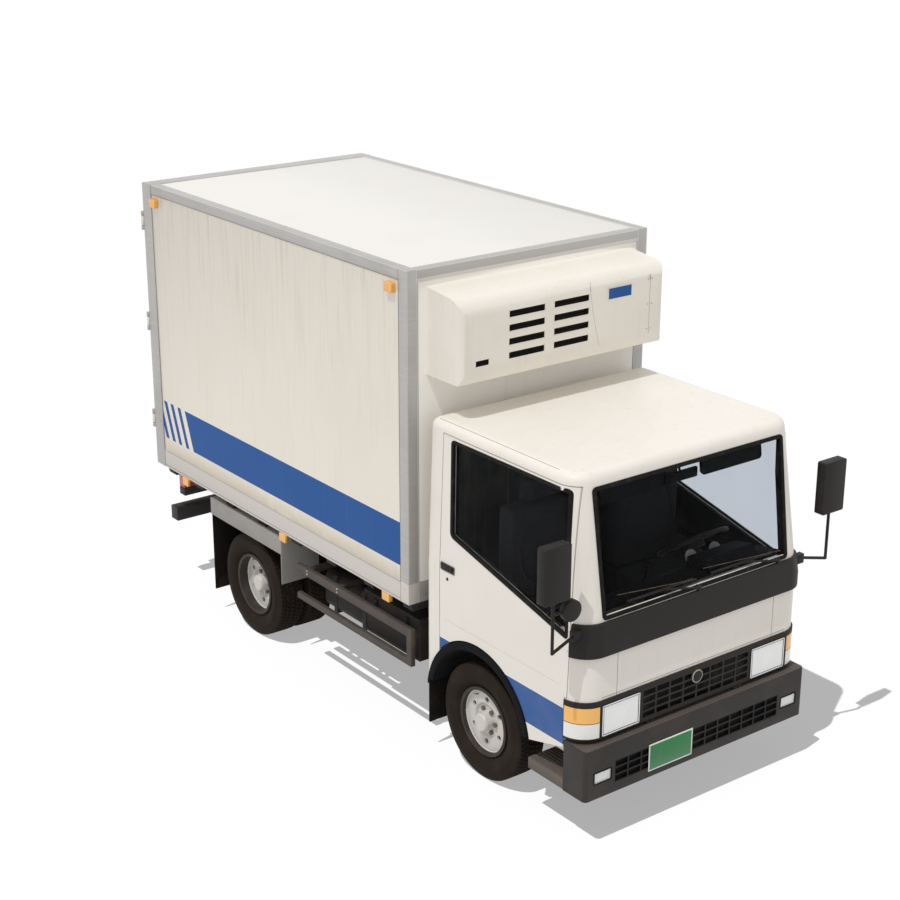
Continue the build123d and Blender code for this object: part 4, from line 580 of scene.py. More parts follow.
# the rear doors' skin: road dust thrown up behind the wheels
BOX_DOOR_SKIN = Finish(
    "satin_door_skin",
    BOX_SKIN,
    marks=(
        Mark(PALE_DUST, 520.0, 0.45, 0.72, 0.2),
        Mark(GREY_RUN, 38.0, 0.52, 0.76, 0.2, Pattern.RUNS),
        Mark(ROAD_DUST, 160.0, 0.42, 0.7, 0.25, fade=(950.0, 1700.0)),
    ),
    reliefs=(Relief(420.0, 0.5),),
)
# mill-finish aluminium extrusion: grey, dull, with lengthwise die lines
ALUMINIUM_SECTION = Finish(
    "mill_finish_aluminium_extrusion",
    ALUMINIUM,
    marks=ALUMINIUM_AGE,
    reliefs=(Relief(5.0, 0.06, Pattern.BRUSHED),),
)
# load floor: aluminium scuffed bright by crates, dirty between the scuffs
LINING_FLOOR = Finish(
    "ribbed_aluminium_load_floor",
    Coat("#A9A7A3", 0.4, 0.7),
    marks=(Mark(ROAD_SPLASH, 160.0, 0.5, 0.75, 0.3), Mark(Coat("#D9D8D5", 0.35, 0.7), 9.0, 0.5, 0.72, 0.4)),
)
# glass-fibre cover: satin cream paint, a film of dust, and painted shade, near black, in the depth of its
# slots
UNIT_COVER = Finish(
    "satin_paint_on_glass_fibre",
    Coat("#F1EBE0", 0.4),
    regions=(
        # the depth of the slots: painted shade, near black
        Region(
            BLACK_AND_PAINTED_SHADE,
            (
                Cut(0.0, -1.0, 0.0, 1086.5),
                Cut(0.0, 1.0, 0.0, -1048.5),
                Cut(1.0, 0.0, 0.0, 700.0),
                Cut(0.0, 0.0, 1.0, 2690.0),
                Cut(0.0, 0.0, -1.0, -2386.0),
            ),
        ),
    ),
    marks=(Mark(PALE_DUST, 300.0, 0.46, 0.74, 0.14), Mark(GREY_RUN, 30.0, 0.56, 0.76, 0.1, Pattern.RUNS)),
    reliefs=(Relief(180.0, 0.3),),
)
# chassis black: satin paint dulled by a thin even film of road dust, rust only where it chips
CHASSIS_BLACK = Finish(
    "satin_chassis_black_on_steel",
    Coat("#2D2A28", 0.6),
    marks=(Mark(ROAD_SPLASH, 160.0, 0.45, 0.75, 0.15), Mark(DARK_RUST, 14.0, 0.68, 0.73, 0.6)),
    reliefs=(Relief(6.0, 0.12),),
    shine=0.15,
)
# the mesh between the bumper's fog lamps
IN_MESH = (
    Cut(1.0, 0.0, 0.0, 634.0),
    Cut(0.0, 1.0, 0.0, -2270.0),
    Cut(0.0, 0.0, 1.0, 474.0),
    Cut(0.0, 0.0, -1.0, -338.0),
)
# moulded bumper: dark grey satin plastic; the lighter brown-grey on its upper face is a painted sheen from
# above
BUMPER_GREY = Finish(
    "satin_moulded_plastic_dark_grey",
    Coat("#393635", 0.5),
    regions=(
        # upper face: painted sheen, a lighter brown-grey than the front
        Region(Coat("#5A524C", 0.6), (Cut(0.0, 0.0, -1.0, -588.0), Cut(0.0, 1.0, 0.0, 0.0))),
        Region(Coat("#2A2827", 0.6), IN_MESH),
        # behind the mesh's face: painted shade, near black, in the recess
        Region(BLACK_AND_PAINTED_SHADE, IN_MESH + (Cut(0.0, -1.0, 0.0, 2299.0),)),
    ),
    marks=(Mark(ROAD_DUST, 200.0, 0.48, 0.76, 0.08), Mark(Coat("#8A8178", 0.7), 7.0, 0.72, 0.76, 0.3)),
    reliefs=(Relief(3.0, 0.04),),
    shine=0.15,
)
# grained black plastic: a soft, even, nearly black sheen
BLACK_PLASTIC = Finish(
    "grained_black_plastic",
    Coat("#2B2827", 0.5),
    marks=(Mark(Coat("#4A4542", 0.7), 160.0, 0.5, 0.78, 0.15),),
    reliefs=(Relief(2.5, 0.05),),
    shine=0.15,
)
# moulded trim: dark, matt and finely grained
CAB_TRIM = Finish(
    "moulded_interior_trim",
    TRIM_GREY,
    marks=(Mark(Coat("#202123", 0.8), 90.0, 0.5, 0.75, 0.4),),
    reliefs=(Relief(2.5, 0.04),),
    shine=0.1,
)
BLACK_RUBBER = Finish(
    "extruded_black_rubber_seal",
    Coat("#1B1918", 0.65),
    marks=(Mark(ROAD_DUST, 45.0, 0.55, 0.78, 0.1),),
    reliefs=(Relief(4.0, 0.05),),
    shine=0.1,
)
# wheel enamel: pale grey paint sprayed on steel, small rust blooms at the holes
WHEEL_ENAMEL = Finish(
    "sprayed_grey_white_enamel_on_steel",
    Coat("#D3CFC8", 0.45),
    regions=(
        # the rim's well and the wheel's inner side: painted shade, dark brown-grey
        Region(RIM_SHADE, (Cut(1.0, 0.0, 0.0, 748.0),)),
        Region(RIM_SHADE, (Around(FRONT_AXLE_Y, TYRE_RADIUS, 190.0, 300.0), Cut(0.0, 1.0, 0.0, 0.0))),
        Region(RIM_SHADE, (Around(REAR_AXLE_Y, TYRE_RADIUS, 190.0, 300.0), Cut(0.0, -1.0, 0.0, 0.0))),
        Region(FORGED_NUT, (Around(FRONT_AXLE_Y, TYRE_RADIUS, 62.0, 95.0), Cut(-1.0, 0.0, 0.0, -759.0))),
        Region(FORGED_NUT, (Around(REAR_AXLE_Y, TYRE_RADIUS, 62.0, 95.0), Cut(-1.0, 0.0, 0.0, -757.0))),
    ),
    marks=(Mark(ROAD_DUST, 80.0, 0.48, 0.75, 0.12), Mark(RUST, 11.0, 0.7, 0.75, 0.5)),
    reliefs=(Relief(5.0, 0.08),),
)
WHEEL_NUT = Finish(
    "rusty_forged_nut",
    Coat("#6B625A", 0.6, 0.4),
    marks=(Mark(RUST, 8.0, 0.52, 0.66, 0.5),),
    reliefs=(Relief(2.0, 0.1),),
)
# tyre: vulcanised rubber, even brown-black, barely dusty
TYRE_RUBBER = Finish(
    "vulcanised_tyre_rubber",
    Coat("#2A231E", 0.85),
    marks=(Mark(ROAD_DUST, 120.0, 0.48, 0.78, 0.04), Mark(ROAD_SPLASH, 14.0, 0.62, 0.76, 0.06)),
    reliefs=(Relief(3.0, 0.08),),
    shine=0.1,
)
# rubber flap: dull black sheet, its foot splashed by the wheel
FLAP_RUBBER = Finish(
    "sheet_rubber_flap",
    Coat("#1D1A18", 0.8),
    marks=(Mark(ROAD_SPLASH, 90.0, 0.42, 0.7, 0.25, fade=(150.0, 500.0)),),
    reliefs=(Relief(30.0, 0.3),),
    shine=0.08,
)
# guard rails: dark paint on steel tube, browned by the road
GUARD_PAINT = Finish(
    "worn_dark_paint_on_steel",
    Coat("#4C4642", 0.55),
    regions=(Region(Coat("#675F58", 0.6), (Cut(0.0, 1.0, 0.0, -1200.0),)),),
    marks=(Mark(ROAD_DUST, 120.0, 0.46, 0.74, 0.15), Mark(RUST, 14.0, 0.68, 0.74, 0.5)),
    reliefs=(Relief(5.0, 0.1),),
    shine=0.2,
)
# mudguard: grey painted sheet, brown behind the wheel
MUDGUARD_SHEET = Finish(
    "stained_painted_mudguard_sheet",
    Coat("#96938F", 0.5),
    marks=(Mark(ROAD_DUST, 130.0, 0.46, 0.74, 0.2), Mark(RUST, 14.0, 0.7, 0.75, 0.5)),
    reliefs=(Relief(160.0, 0.5),),
    shine=0.3,
)
CAST_IRON = Finish(
    "sand_cast_iron",
    Coat("#4A4642", 0.75, 0.3),
    marks=(Mark(DARK_RUST, 40.0, 0.5, 0.7, 0.5), Mark(ROAD_SPLASH, 90.0, 0.5, 0.7, 0.4)),
    reliefs=(Relief(3.0, 0.4),),
)
# forged axles and springs: dark, under dry dirt
AXLE_STEEL = Finish(
    "forged_steel_with_road_dirt",
    Coat("#34312E", 0.65, 0.3),
    marks=(Mark(DARK_RUST, 30.0, 0.54, 0.72, 0.5), Mark(ROAD_DUST, 80.0, 0.5, 0.75, 0.25)),
    reliefs=(Relief(4.0, 0.2),),
    shine=0.25,
)
BRIGHT_STEEL = Finish(
    "zinc_plated_steel",
    Coat("#A8A49C", 0.38, 0.85),
    marks=(Mark(RUST, 14.0, 0.64, 0.74, 0.5), Mark(Coat("#6E6A64", 0.5, 0.6), 60.0, 0.5, 0.7, 0.3)),
    reliefs=(Relief(5.0, 0.06),),
)
# mirror: silvered glass, hard and bright
MIRROR_GLASS = Finish(
    "silvered_mirror_glass",
    Coat("#C9CED2", 0.04, 1.0),
    marks=(Mark(PALE_DUST, 120.0, 0.55, 0.8, 0.1),),
)
# screen and door glass: thin enough to bend nothing, faint blue-grey, dark over the dark cab
SCREEN_GLASS = Finish(
    "tempered_tinted_glass",
    Coat("#DADEE3", 0.0),
    marks=(Mark(Coat("#D0D5DA", 0.0), 260.0, 0.45, 0.75, 0.3),),
    clear=1.0,
    ior=1.08,
)
CLEAR_LENS = Finish(
    "fluted_clear_lens",
    Coat("#ECEDED", 0.12),
    marks=(Mark(PALE_DUST, 40.0, 0.5, 0.75, 0.15),),
    flutes=14.0,
    varnish=0.5,
)
# amber acrylic: orange-yellow, brighter where the light falls through an edge
AMBER_LENS = Finish(
    "moulded_amber_acrylic",
    Coat("#FFBA58", 0.18),
    marks=(Mark(Coat("#F0A23C", 0.3), 22.0, 0.5, 0.75, 0.2),),
    flutes=9.0,
    varnish=0.5,
)
RED_LENS = Finish(
    "moulded_tail_lamp_acrylic",
    Coat("#D2402A", 0.18),
    regions=(
        Region(Coat("#F2A544", 0.18), (Cut(1.0, 0.0, 0.0, 661.0),)),
        Region(Coat("#E2E1DD", 0.18), (Cut(1.0, 0.0, 0.0, 539.0),)),
    ),
    marks=(Mark(ROAD_DUST, 50.0, 0.5, 0.75, 0.15),),
    flutes=9.0,
    varnish=0.5,
)
AT_CORNER = Cut(-1.0, 0.0, 0.0, -716.0)
# head and corner lamps: white glass with a painted highlight for the bowl's shine, amber over white at the
# corner
HEADLAMP_GLASS = Finish(
    "fluted_headlamp_glass",
    Coat("#FCFCFB", 0.1),
    regions=(
        Region(Coat("#FFC063", 0.16), (AT_CORNER, Cut(0.0, 0.0, -1.0, -715.0))),
        Region(BLACK_AND_PAINTED_SHADE, (AT_CORNER, Cut(0.0, 0.0, 1.0, 715.0))),
        Region(Coat("#F3F0EB", 0.16), (AT_CORNER, Cut(0.0, 0.0, 1.0, 711.0))),
    ),
    marks=(Mark(PALE_DUST, 50.0, 0.55, 0.8, 0.08),),
    flutes=13.0,
    flute_depth=0.25,
    varnish=0.4,
    glow=(573.0, 703.0, 70.0),
)
# number plate: green enamel inside a narrow white border, left blank
PLATE_BLANK = Finish(
    "enamelled_plate_blank_green",
    Coat("#E9E9E1", 0.35),
    regions=(
        Region(
            PLATE_GREEN,
            (
                Cut(0.0, 1.0, 0.0, 0.0),
                Cut(-1.0, 0.0, 0.0, -62.0),
                Cut(1.0, 0.0, 0.0, 376.0),
                Cut(0.0, 0.0, 1.0, 475.5),
                Cut(0.0, 0.0, -1.0, -326.5),
            ),
        ),
        Region(
            PLATE_GREEN,
            (
                Cut(0.0, -1.0, 0.0, 0.0),
                Cut(1.0, 0.0, 0.0, 157.0),
                Cut(0.0, 0.0, 1.0, 730.5),
                Cut(0.0, 0.0, -1.0, -581.5),
            ),
        ),
    ),
    marks=(Mark(ROAD_DUST, 60.0, 0.55, 0.8, 0.1),),
)
# seat cloth: dark woven cloth, dull, darker where it is worn
SEAT_CLOTH = Finish(
    "woven_seat_cloth",
    Coat("#2B2B2D", 0.9),
    marks=(Mark(Coat("#1E1E20", 0.9), 35.0, 0.45, 0.7, 0.4),),
    reliefs=(Relief(4.0, 0.4), Relief(60.0, 1.5)),
    shine=0.15,
)
PAINTED_BLUE = Finish(
    "satin_blue_vinyl_film",
    STRIPE_BLUE,
    marks=(
        Mark(Coat("#3664A4", 0.45), 420.0, 0.46, 0.74, 0.2),
        Mark(Coat("#7288A4", 0.6), 36.0, 0.6, 0.78, 0.1, Pattern.RUNS),
    ),
    reliefs=(Relief(420.0, 0.5),),
    shine=0.1,
)
# joint between panels: a shadowed gap with rust bleeding out of it
SEAM_SHADOW = Finish(
    "dark_joint_between_panels",
    Coat("#6A645B", 0.8),
    marks=(Mark(RUST, 30.0, 0.52, 0.68, 0.5),),
)
LAMP_RIM = Finish(
    "white_lamp_rim",
    Coat("#FFFFFF", 0.25),
    marks=(Mark(PALE_DUST, 40.0, 0.55, 0.8, 0.08),),
)
CUP_GREY = Finish(
    "grey_moulded_cup",
    Coat("#77736E", 0.5),
    marks=(Mark(ROAD_DUST, 25.0, 0.5, 0.74, 0.2),),
)
# wiper spine: metal, coloured brown with lighter brown patches as a painted glint
WIPER_SPINE_PAINTED_GLINT = Finish(
    "wiper_spine_with_painted_glint",
    Coat("#6A5A4C", 0.4, 0.5),
    marks=(Mark(Coat("#A8866A", 0.5, 0.3), 60.0, 0.5, 0.7, 0.5),),
)


# ------------------------------------------------------------------ shapes, in millimetres
def block(bm: bmesh.types.BMesh, low: Point, high: Point, rounding: float = 0.0) -> None:
    """Adds a box between two corners.

    Args:
        bm: The mesh that grows.
        low: Lowest corner.
        high: Highest corner.
        rounding: Radius of its edges.
    """
    low, high = Vector(low), Vector(high)
    verts = bmesh.ops.create_cube(bm, size=1.0)["verts"]
    bmesh.ops.scale(bm, vec=high - low, verts=verts)
    bmesh.ops.translate(bm, vec=(low + high) / 2, verts=verts)
    if rounding:
        edges = list({edge for vert in verts for edge in vert.link_edges})
        bmesh.ops.bevel(
            bm, geom=edges, offset=rounding, affect="EDGES", segments=2, profile=0.5, material=-1
        )


def rod(
    bm: bmesh.types.BMesh,
    start: Point,
    end: Point,
    radius: float,
    sides: int = 14,
    end_radius: float | None = None,
) -> None:
    """Adds a round bar or cone between two points.

    Args:
        bm: The mesh that grows.
        start: Centre of the first end.
        end: Centre of the other end.
        radius: Radius at the first end.
        sides: Faces round it.
        end_radius: Radius at the other end, if not the same.
    """
    start, end = Vector(start), Vector(end)
    axis = end - start
    place = Matrix.Translation((start + end) / 2) @ axis.to_track_quat("Z", "Y").to_matrix().to_4x4()
    bmesh.ops.create_cone(
        bm,
        cap_ends=True,
        segments=sides,
        radius1=radius,
        radius2=radius if end_radius is None else end_radius,
        depth=axis.length,
        matrix=place,
    )


def outline(
    bm: bmesh.types.BMesh, corners: Iterable[Point], rounding: float = 0.0, steps: int = 5
) -> bmesh.types.BMFace:
    """Adds one flat face with rounded corners.

    Args:
        bm: The mesh that grows.
        corners: Its corners in order.
        rounding: Size of each corner's round.
        steps: Segments in a round.

    Returns:
        The face.
    """
    verts = [bm.verts.new(corner) for corner in corners]
    face = bm.faces.new(verts)
    if rounding:
        made = bmesh.ops.bevel(
            bm, geom=verts, offset=rounding, affect="VERTICES", segments=steps, profile=0.5, material=-1
        )
        face = made["verts"][0].link_faces[0]
    return face


def thicken(bm: bmesh.types.BMesh, faces: Iterable[bmesh.types.BMFace], way: Point) -> None:
    """Extrudes free faces into a closed solid along a vector."""
    moved = bmesh.ops.extrude_face_region(bm, geom=list(faces))["geom"]
    verts = [item for item in moved if isinstance(item, bmesh.types.BMVert)]
    bmesh.ops.translate(bm, vec=Vector(way), verts=verts)


def slab(
    bm: bmesh.types.BMesh, corners: Iterable[Point], way: Point, rounding: float = 0.0, steps: int = 5
) -> None:
    """Adds a flat piece of any outline, thickened along a vector."""
    thicken(bm, [outline(bm, corners, rounding, steps)], way)


def ring(
    bm: bmesh.types.BMesh,
    corners: Iterable[Point],
    width: float,
    way: Point,
    rounding: float = 0.0,
    steps: int = 5,
) -> None:
    """Adds a frame of one width round an outline.

    Args:
        bm: The mesh that grows.
        corners: The outer outline.
        width: The frame's width, inwards.
        way: Its thickness, as a vector.
        rounding: Size of the outer corners.
        steps: Segments in a round.
    """
    face = outline(bm, corners, rounding, steps)
    border = bmesh.ops.inset_region(
        bm, faces=[face], thickness=width, use_boundary=True, use_even_offset=True
    )["faces"]
    bmesh.ops.delete(bm, geom=[face], context="FACES_ONLY")
    thicken(bm, border, way)


def turned(
    bm: bmesh.types.BMesh, profile: Iterable[Point], centre: Point, axis: Point, steps: int
) -> None:
    """Adds a turned solid: a closed profile spun right round an axis.

    Args:
        bm: The mesh that grows.
        profile: Points of the section, in order; the last joins the first.
        centre: A point on the axis.
        axis: The axis.
        steps: Steps in the turn.
    """
    verts = [bm.verts.new(point) for point in profile]
    edges = [bm.edges.new((a, b)) for a, b in zip(verts, verts[1:] + verts[:1])]
    bmesh.ops.spin(
        bm, geom=verts + edges, cent=centre, axis=axis, angle=2 * pi, steps=steps, use_merge=True
    )


def mirrored_copy(bm: bmesh.types.BMesh) -> None:
    """Adds the other side's copy of everything, across the centre plane."""
    copied = bmesh.ops.duplicate(bm, geom=list(bm.verts) + list(bm.edges) + list(bm.faces))["geom"]
    verts = [item for item in copied if isinstance(item, bmesh.types.BMVert)]
    bmesh.ops.scale(bm, vec=(-1.0, 1.0, 1.0), verts=verts)


def make_piece(
    bm: bmesh.types.BMesh,
    name: str,
    body: str,
    finish: Finish,
    rounding: float = 0.0,
    replaced: Sequence[str] = (),
) -> bpy.types.Object:
    """Turns a finished bmesh into a piece that rides a body.

    Args:
        bm: The mesh in millimetres, freed here.
        name: The piece's name.
        body: The body that carries it.
        finish: Its finish.
        rounding: Width of the bevel on its sharp edges.
        replaced: Solids that it stands for.

    Returns:
        The piece.
    """
    bmesh.ops.recalc_face_normals(bm, faces=bm.faces)
    if rounding:
        sharp = [e for e in bm.edges if e.is_manifold and e.calc_face_angle() > radians(50)]
        bmesh.ops.bevel(
            bm, geom=sharp, offset=rounding, affect="EDGES", segments=2, profile=0.5, material=-1,
            clamp_overlap=True,
        )
    bmesh.ops.scale(bm, vec=(MM, MM, MM), verts=bm.verts)
    mesh = bpy.data.meshes.new(name)
    bm.to_mesh(mesh)
    bm.free()
    mesh.shade_smooth()
    mesh.set_sharp_from_angle(angle=radians(38))
    mesh.materials.append(finish.material())
    piece = bpy.data.objects.new(name, mesh)
    bpy.context.scene.collection.objects.link(piece)
    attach(piece, body)
    if replaced:
        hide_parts(*replaced)
    log.info("%s: %d faces on %s", name, len(mesh.polygons), body)
    return piece


class Edge(Enum):
    """How a solid's edges were made: rounded all over, or pressed and turned smooth."""

    ROUNDED = "rounded"
    PRESSED = "pressed"


def dress(node: str, finish: Finish, edge: Edge = Edge.ROUNDED, radius: float = 2.0) -> None:
    """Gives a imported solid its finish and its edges.

    Args:
        node: The solid's name.
        finish: Its finish.
        edge: How its edges were made.
        radius: Edge radius where they are rounded, in millimetres.
    """
    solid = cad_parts[node]
    solid.data.materials.clear()
    solid.data.materials.append(finish.material())
    solid.data.shade_smooth()
    weld = solid.modifiers.new("weld", "WELD")
    weld.merge_threshold = 0.02 * MM
    if edge is Edge.ROUNDED:
        bevel = solid.modifiers.new("edge_radius", "BEVEL")
        bevel.width = radius * MM
        bevel.segments = 2
        bevel.limit_method = "ANGLE"
        bevel.angle_limit = radians(40)
        bevel.harden_normals = True
    else:
        split = solid.modifiers.new("edges", "EDGE_SPLIT")
        split.split_angle = radians(30)
    log.info("%s dressed in %s", node, finish.name)


def front_y(z: float) -> float:
    """Returns where the cab's front face lies at a height."""
    return CAB_FRONT_Y + max(z - BELT_Z, 0.0) * FRONT_RAKE


def side_x(y: float, z: float) -> float:
    """Returns the half width of the cab's skin at a point along it, with its rounded front corner."""
    lean = max(z - BELT_Z, 0.0) * SIDE_LEAN
    ahead = front_y(z) + CAB_CORNER_R - y
    if ahead <= 0:
        return CAB_HALF - lean
    return CAB_HALF - lean - CAB_CORNER_R + (CAB_CORNER_R ** 2 - min(ahead, CAB_CORNER_R) ** 2) ** 0.5


def grown(corners: Sequence[tuple[float, float]], by: float) -> list[tuple[float, float]]:
    """Moves each side of a flat outline outwards.

    Args:
        corners: The outline, as pairs.
        by: Distance outwards.

    Returns:
        The larger outline.
    """
    count = len(corners)
    area = sum(corners[i - 1][0] * corners[i][1] - corners[i][0] * corners[i - 1][1] for i in range(count))
    turn = 1.0 if area > 0 else -1.0
    moved = []
    for i, corner in enumerate(corners):
        before = (Vector(corner) - Vector(corners[i - 1])).normalized()
        after = (Vector(corners[(i + 1) % count]) - Vector(corner)).normalized()
        a, b = Vector((before.y, -before.x)) * turn, Vector((after.y, -after.x)) * turn
        moved.append(tuple(Vector(corner) + (a + b) * by / (1.0 + a.dot(b))))
    return moved


def heads(bm: bmesh.types.BMesh, places: Iterable[Point], way: Point, radius: float, rise: float) -> None:
    """Adds a row of small domed heads that stand on a face.

    Args:
        bm: The mesh that grows.
        places: Where they stand.
        way: Out of the face, as a unit vector.
        radius: Their radius.
        rise: Their height.
    """
    for place in places:
        foot = Vector(place) - Vector(way) * 0.5
        rod(bm, foot, Vector(place) + Vector(way) * rise, radius, 8, radius * 0.6)


# ------------------------------------------------------------------ cab
@dataclass
class Cab:
    """The cab's skin, its screen, its seams and its front lamps."""

    seal_width: float = 24.0
    seal_proud: float = 6.0
    seal_deep: float = 14.0
    seal_top: tuple[float, float] = (707.0, 2014.0)
    seal_low: tuple[float, float] = (699.0, 1296.0)
    seam_x: float = 594.0
    seam_z: tuple[float, float] = (838.0, 1102.0)
    seam_half: float = 1.2
    seam_proud: float = 0.4
    seam_deep: float = 2.0
    sill_z: float = 852.0
    sill_end: float = 700.0
    band_y: float = -2263.0
    headlamp: tuple[float, float, float, float] = (430.0, 700.0, 623.0, 806.0)
    gutter: tuple[float, float, float, float] = (781.6, 2079.5, -1960.0, -927.0)
    badge: tuple[float, float, float] = (0.0, 772.0, 40.0)
    blades: tuple[tuple[Point, Point], ...] = (
        ((-12.0, 1350.0), (-585.0, 1408.0)), ((650.0, 1350.0), (46.0, 1396.0)),
    )
    mirror: tuple[float, float, float, float] = (-150.0, 90.0, 1888.0, 1946.0)
    mirror_y: tuple[float, float] = (-2100.0, -2078.0)
    mirror_rim: float = 7.0
    stalk: tuple[float, float, float] = (-2084.0, -2040.0, 2040.0)

    def build(self) -> None:
        """Dresses the cab's solids and adds its trim."""
        self.dress_solids()
        self.seal_screen()
        self.draw_seams()
        self.frame_lamps()
        self.fit_badge()
        self.fit_wipers()
        self.hang_mirror()

    def dress_solids(self) -> None:
        """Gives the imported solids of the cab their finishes."""
        dress("cab_shell", CAB_ENAMEL, Edge.PRESSED)
        dress("cab_floor", CAB_TRIM)
        dress("belt_panel", BLACK_PLASTIC, Edge.PRESSED)
        dress("front_grille", BLACK_PLASTIC, radius=1.2)
        dress("front_lamps", HEADLAMP_GLASS, Edge.PRESSED)
        dress("windscreen", SCREEN_GLASS, Edge.PRESSED)
        dress("wipers", BLACK_PLASTIC, radius=1.0)

    def seal_screen(self) -> None:
        """Adds the black rubber frame round the windscreen."""
        out = Vector((0.0, -1.0, FRONT_RAKE)).normalized()
        (top_x, top_z), (low_x, low_z) = self.seal_top, self.seal_low
        corners = [
            Vector((x, front_y(z), z)) - out * self.seal_deep
            for x, z in ((-top_x, top_z), (top_x, top_z), (low_x, low_z), (-low_x, low_z))
        ]
        bm = bmesh.new()
        ring(bm, corners, self.seal_width, out * (self.seal_deep + self.seal_proud), rounding=26.0)
        make_piece(bm, "windscreen_seal", "cab", BLACK_RUBBER, rounding=2.0)

    def draw_seams(self) -> None:
        """Adds the fine joints between the front panels and the sealed gutter over the doors."""
        bm = bmesh.new()
        low, high = self.seam_z
        front, back = CAB_FRONT_Y - self.seam_proud, CAB_FRONT_Y + self.seam_deep
        block(bm, (self.seam_x - self.seam_half, front, low), (self.seam_x + self.seam_half, back, high))
        low, high = self.sill_z - self.seam_half, self.sill_z + self.seam_half
        block(bm, (-1.0, front, low), (self.sill_end, back, high))
        across, height, start, end = self.gutter
        rod(bm, (across, start, height), (across, end, height), 2.0, 8)
        mirrored_copy(bm)
        make_piece(bm, "cab_panel_seams", "cab", SEAM_SHADOW)

    def frame_lamps(self) -> None:
        """Adds a black surround, a black inner ring and a bright rim to each headlamp."""
        inner, outer, low, high = self.headlamp
        surround, rim = bmesh.new(), bmesh.new()
        for grow, width, proud, target in (
            (6.0, 5.0, 2.4, surround), (1.0, 8.0, 1.6, rim), (-7.0, 3.0, 1.8, surround)
        ):
            left, right, bottom, top = inner - grow, outer + grow, low - grow, high + grow
            corners = [
                (x, self.band_y, z)
                for x, z in ((left, bottom), (right, bottom), (right, top), (left, top))
            ]
            ring(target, corners, width, (0.0, -proud, 0.0), rounding=4.0)
        mirrored_copy(surround)
        mirrored_copy(rim)
        make_piece(surround, "headlamp_surrounds", "cab", BLACK_PLASTIC, rounding=0.6)
        make_piece(rim, "headlamp_rims", "cab", LAMP_RIM, rounding=0.5)

    def fit_badge(self) -> None:
        """Adds the blank round boss on the grille, with its raised rim."""
        x, z, radius = self.badge
        bm = bmesh.new()
        rod(bm, (x, self.band_y + 6, z), (x, self.band_y - 3.0, z), radius - 5, 40)
        make_piece(bm, "grille_boss", "cab", BLACK_PLASTIC, rounding=1.5)
        rim = bmesh.new()
        section = [
            (x + offset, self.band_y - depth, z)
            for offset, depth in (
                (radius - 6, -6), (radius, -6), (radius, 3), (radius - 2, 5), (radius - 6, 5)
            )
        ]
        turned(rim, section, (x, self.band_y, z), (0.0, 1.0, 0.0), 48)
        make_piece(rim, "grille_boss_rim", "cab", BRIGHT_STEEL)

    def fit_wipers(self) -> None:
        """Adds the blades, with their rubber and the thin spine, whose brown colour with lighter patches is a
        painted glint.
        """
        rubber, spine = bmesh.new(), bmesh.new()
        lift = Vector((0.0, -1.0, FRONT_RAKE)).normalized()
        for root, tip in self.blades:
            ends = [Vector((x, front_y(z) + 6.0, z)) for x, z in (root, tip)]
            rod(rubber, ends[0], ends[1], 4.5, 6, 3.0)
            rod(spine, ends[0] + lift * 5.0, ends[1] + lift * 4.0, 1.6, 6)
            for share in (0.12, 0.37, 0.63, 0.88):
                at = ends[0].lerp(ends[1], share)
                rod(rubber, at, at + lift * 9.0, 4.0, 8, 3.0)
        make_piece(rubber, "wiper_rubbers", "cab", BLACK_RUBBER)
        make_piece(spine, "wiper_spines", "cab", WIPER_SPINE_PAINTED_GLINT)

    def hang_mirror(self) -> None:
        """Hangs the driver's mirror under the roof, with its stalk and its silvered face."""
        left, right, low, high = self.mirror
        bm = bmesh.new()
        front, face = self.mirror_y
        foot_y, root_y, root_z = self.stalk
        middle, rim = (left + right) / 2, self.mirror_rim
        block(bm, (left, front, low), (right, face, high), rounding=7.0)
        rod(bm, (middle, foot_y, high - 10), (middle, root_y, root_z), 7.0, 12)
        make_piece(bm, "cab_mirror", "cab", CAB_TRIM)
        glass = bmesh.new()
        corners = [
            (x, face, z)
            for x, z in (
                (left + rim, low + rim), (right - rim, low + rim),
                (right - rim, high - rim), (left + rim, high - rim),
            )
        ]
        slab(glass, corners, (0.0, 0.8, 0.0), rounding=6.0)
        make_piece(glass, "cab_mirror_glass", "cab", MIRROR_GLASS)


